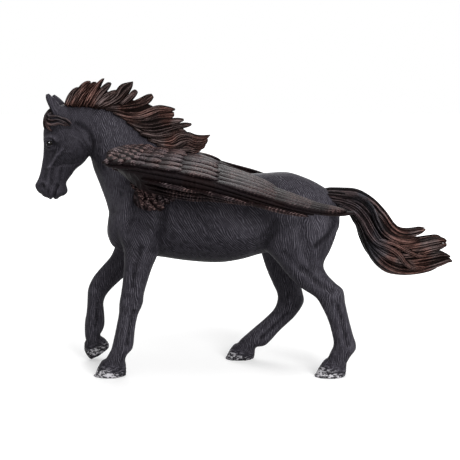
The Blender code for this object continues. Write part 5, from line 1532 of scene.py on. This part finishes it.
# Share of the paint that each row catches: the coverts more, the primaries less
CAUGHT = 0.84, 0.88, 0.92, 0.74, 0.62, 0.60, 0.68
for before, row, share in zip(UPPER_FEATHERS, UPPER_FEATHERS[1:], CAUGHT):
    shown = (row["start"][1] + row["length"] - before["start"][1] - before["length"]) / row["length"]
    wing_shells += row_of_feathers(row, WING_TABLE, 1, shown=shown, paint_share=share, comb=1.5)
for k in range(SMALL_ROWS["rows"]):
    tip = SMALL_ROWS["first_tip"] + k * SMALL_ROWS["gap"]
    start = tip - SMALL_ROWS["length"]
    row = {**SMALL_ROWS, "start": (start + SMALL_ROWS["slant"], start)}
    shift = SMALL_SHIFT * (-1) ** k
    wing_shells += row_of_feathers(row, WING_TABLE, 1, 0.0, 0.3 + 0.08 * k, shift, **SMALL_LOOK)
for row in LOWER_FEATHERS:
    wing_shells += row_of_feathers(row, ROOT_TABLE, -1, ROOT_SWELL)
for x0, z0, y0, x1, z1, y1, half in TUFT:
    middle = ((x0 + x1) / 2, (y0 + y1) / 2 - 1.0, (z0 + z1) / 2)
    path = [(x0, y0, z0), middle, (x1, y1, z1)]
    wing_shells.append(feather(path, half, TUFT_THICKNESS, rng.uniform(0, 1), paint_share=0.6))
wing_shells += tuft_feathers()
placed(piece("wing_left", wing_shells, feather_paint))
placed(piece("wing_right", [mirrored(shell) for shell in wing_shells], feather_paint))

# %% [markdown]
# ## Floor, light and camera
#
# A pale floor and three soft lights, one in front on the right, one above and one behind, give the plain
# studio look. The camera sees white where there is no figurine or shadow.

# %% Lights


def soft_light(name, place, target, size, energy):
    """An area light aimed at a point, in metres and watts."""
    light = bpy.data.lights.new(name, "AREA")
    light.energy, light.size = energy, size
    obj = bpy.data.objects.new(name, light)
    obj.location = place
    obj.rotation_mode = "QUATERNION"
    obj.rotation_quaternion = (Vector(target) - Vector(place)).to_track_quat("-Z", "Y")
    bpy.context.scene.collection.objects.link(obj)


MIDDLE = (0.0, 0.0, 0.06)  # what the lights aim at
soft_light("key", (0.28, -0.55, 0.27), MIDDLE, 0.25, 3.9)
soft_light("top", (0.05, -0.16, 0.62), MIDDLE, 0.30, 1.7)
soft_light("back", (-0.10, 0.55, 0.42), MIDDLE, 0.45, 2.6)

# %% Floor
FLOOR_FADE = 0.13, 0.36  # the floor turns into the white backdrop between these distances, in metres
FLOOR_GLOW = 0.45, 0.6  # what the camera sees the floor shine by near the figurine, and what is added far off
FLOOR_SIDE, FLOOR_DROP = 6, 0.0001  # half the floor's breadth and how far it lies below the soles, in metres


def seen_directly(n):
    """1 for rays that carry the picture or a mirror image of it: camera, glossy and transmission rays."""
    rays = n.add("ShaderNodeLightPath").outputs
    straight = n.math("MAXIMUM", rays["Is Camera Ray"], rays["Is Glossy Ray"])
    return n.math("MAXIMUM", straight, rays["Is Transmission Ray"])


floor_mesh = bpy.data.meshes.new("floor")
signs = (-1, -1), (1, -1), (1, 1), (-1, 1)
corners = [(a * FLOOR_SIDE, b * FLOOR_SIDE, -FLOOR_DROP) for a, b in signs]
floor_mesh.from_pydata(corners, [], [(0, 1, 2, 3)])
floor_paint = bpy.data.materials.new("floor_white")
floor_paint.use_nodes = True
n = Nodes(floor_paint.node_tree)
floor_shader = floor_paint.node_tree.nodes["Principled BSDF"]
floor_place = n.place()
mottle = n.mix(n.noise(floor_place, 30.0), (0.60, 0.60, 0.60, 1), (0.62, 0.62, 0.62, 1))
n.tree.links.new(mottle, floor_shader.inputs["Base Color"])
floor_shader.inputs["Roughness"].default_value = 0.9
floor_shader.inputs["Specular IOR Level"].default_value = 0.0
floor_shader.inputs["Emission Color"].default_value = (1, 1, 1, 1)
reach = n.add("ShaderNodeVectorMath", {0: floor_place}, operation="LENGTH").outputs["Value"]
glow = n.math("ADD", FLOOR_GLOW[0], n.math("MULTIPLY", n.ramp(reach, *FLOOR_FADE), FLOOR_GLOW[1]))
n.tree.links.new(n.math("MULTIPLY", glow, seen_directly(n)), floor_shader.inputs["Emission Strength"])
floor_mesh.materials.append(floor_paint)
floor = bpy.data.objects.new("floor", floor_mesh)
bpy.context.scene.collection.objects.link(floor)

# %% White surroundings
SKY = 0.36  # how strongly the white surroundings light the figurine
world = bpy.data.worlds.new("studio")
world.use_nodes = True
n = Nodes(world.node_tree)
background = world.node_tree.nodes["Background"]
background.inputs["Color"].default_value = (1, 1, 1, 1)
n.tree.links.new(n.math("MAXIMUM", seen_directly(n), SKY), background.inputs["Strength"])
bpy.context.scene.world = world
bpy.context.scene.view_settings.view_transform = "Standard"

# %% Camera
camera_data = bpy.data.cameras.new("camera")
camera_data.lens, camera_data.sensor_width = 75.04, 36.0
camera = bpy.data.objects.new("camera", camera_data)
camera.location = (-0.006, -0.380, 0.1088 - FLOOR * MM)
camera.rotation_euler = (math.radians(82.21), 0, 0)
bpy.context.scene.collection.objects.link(camera)
bpy.context.scene.camera = camera
print(f"camera: {camera_data.lens} mm lens, {len(bpy.data.lights)} lights")
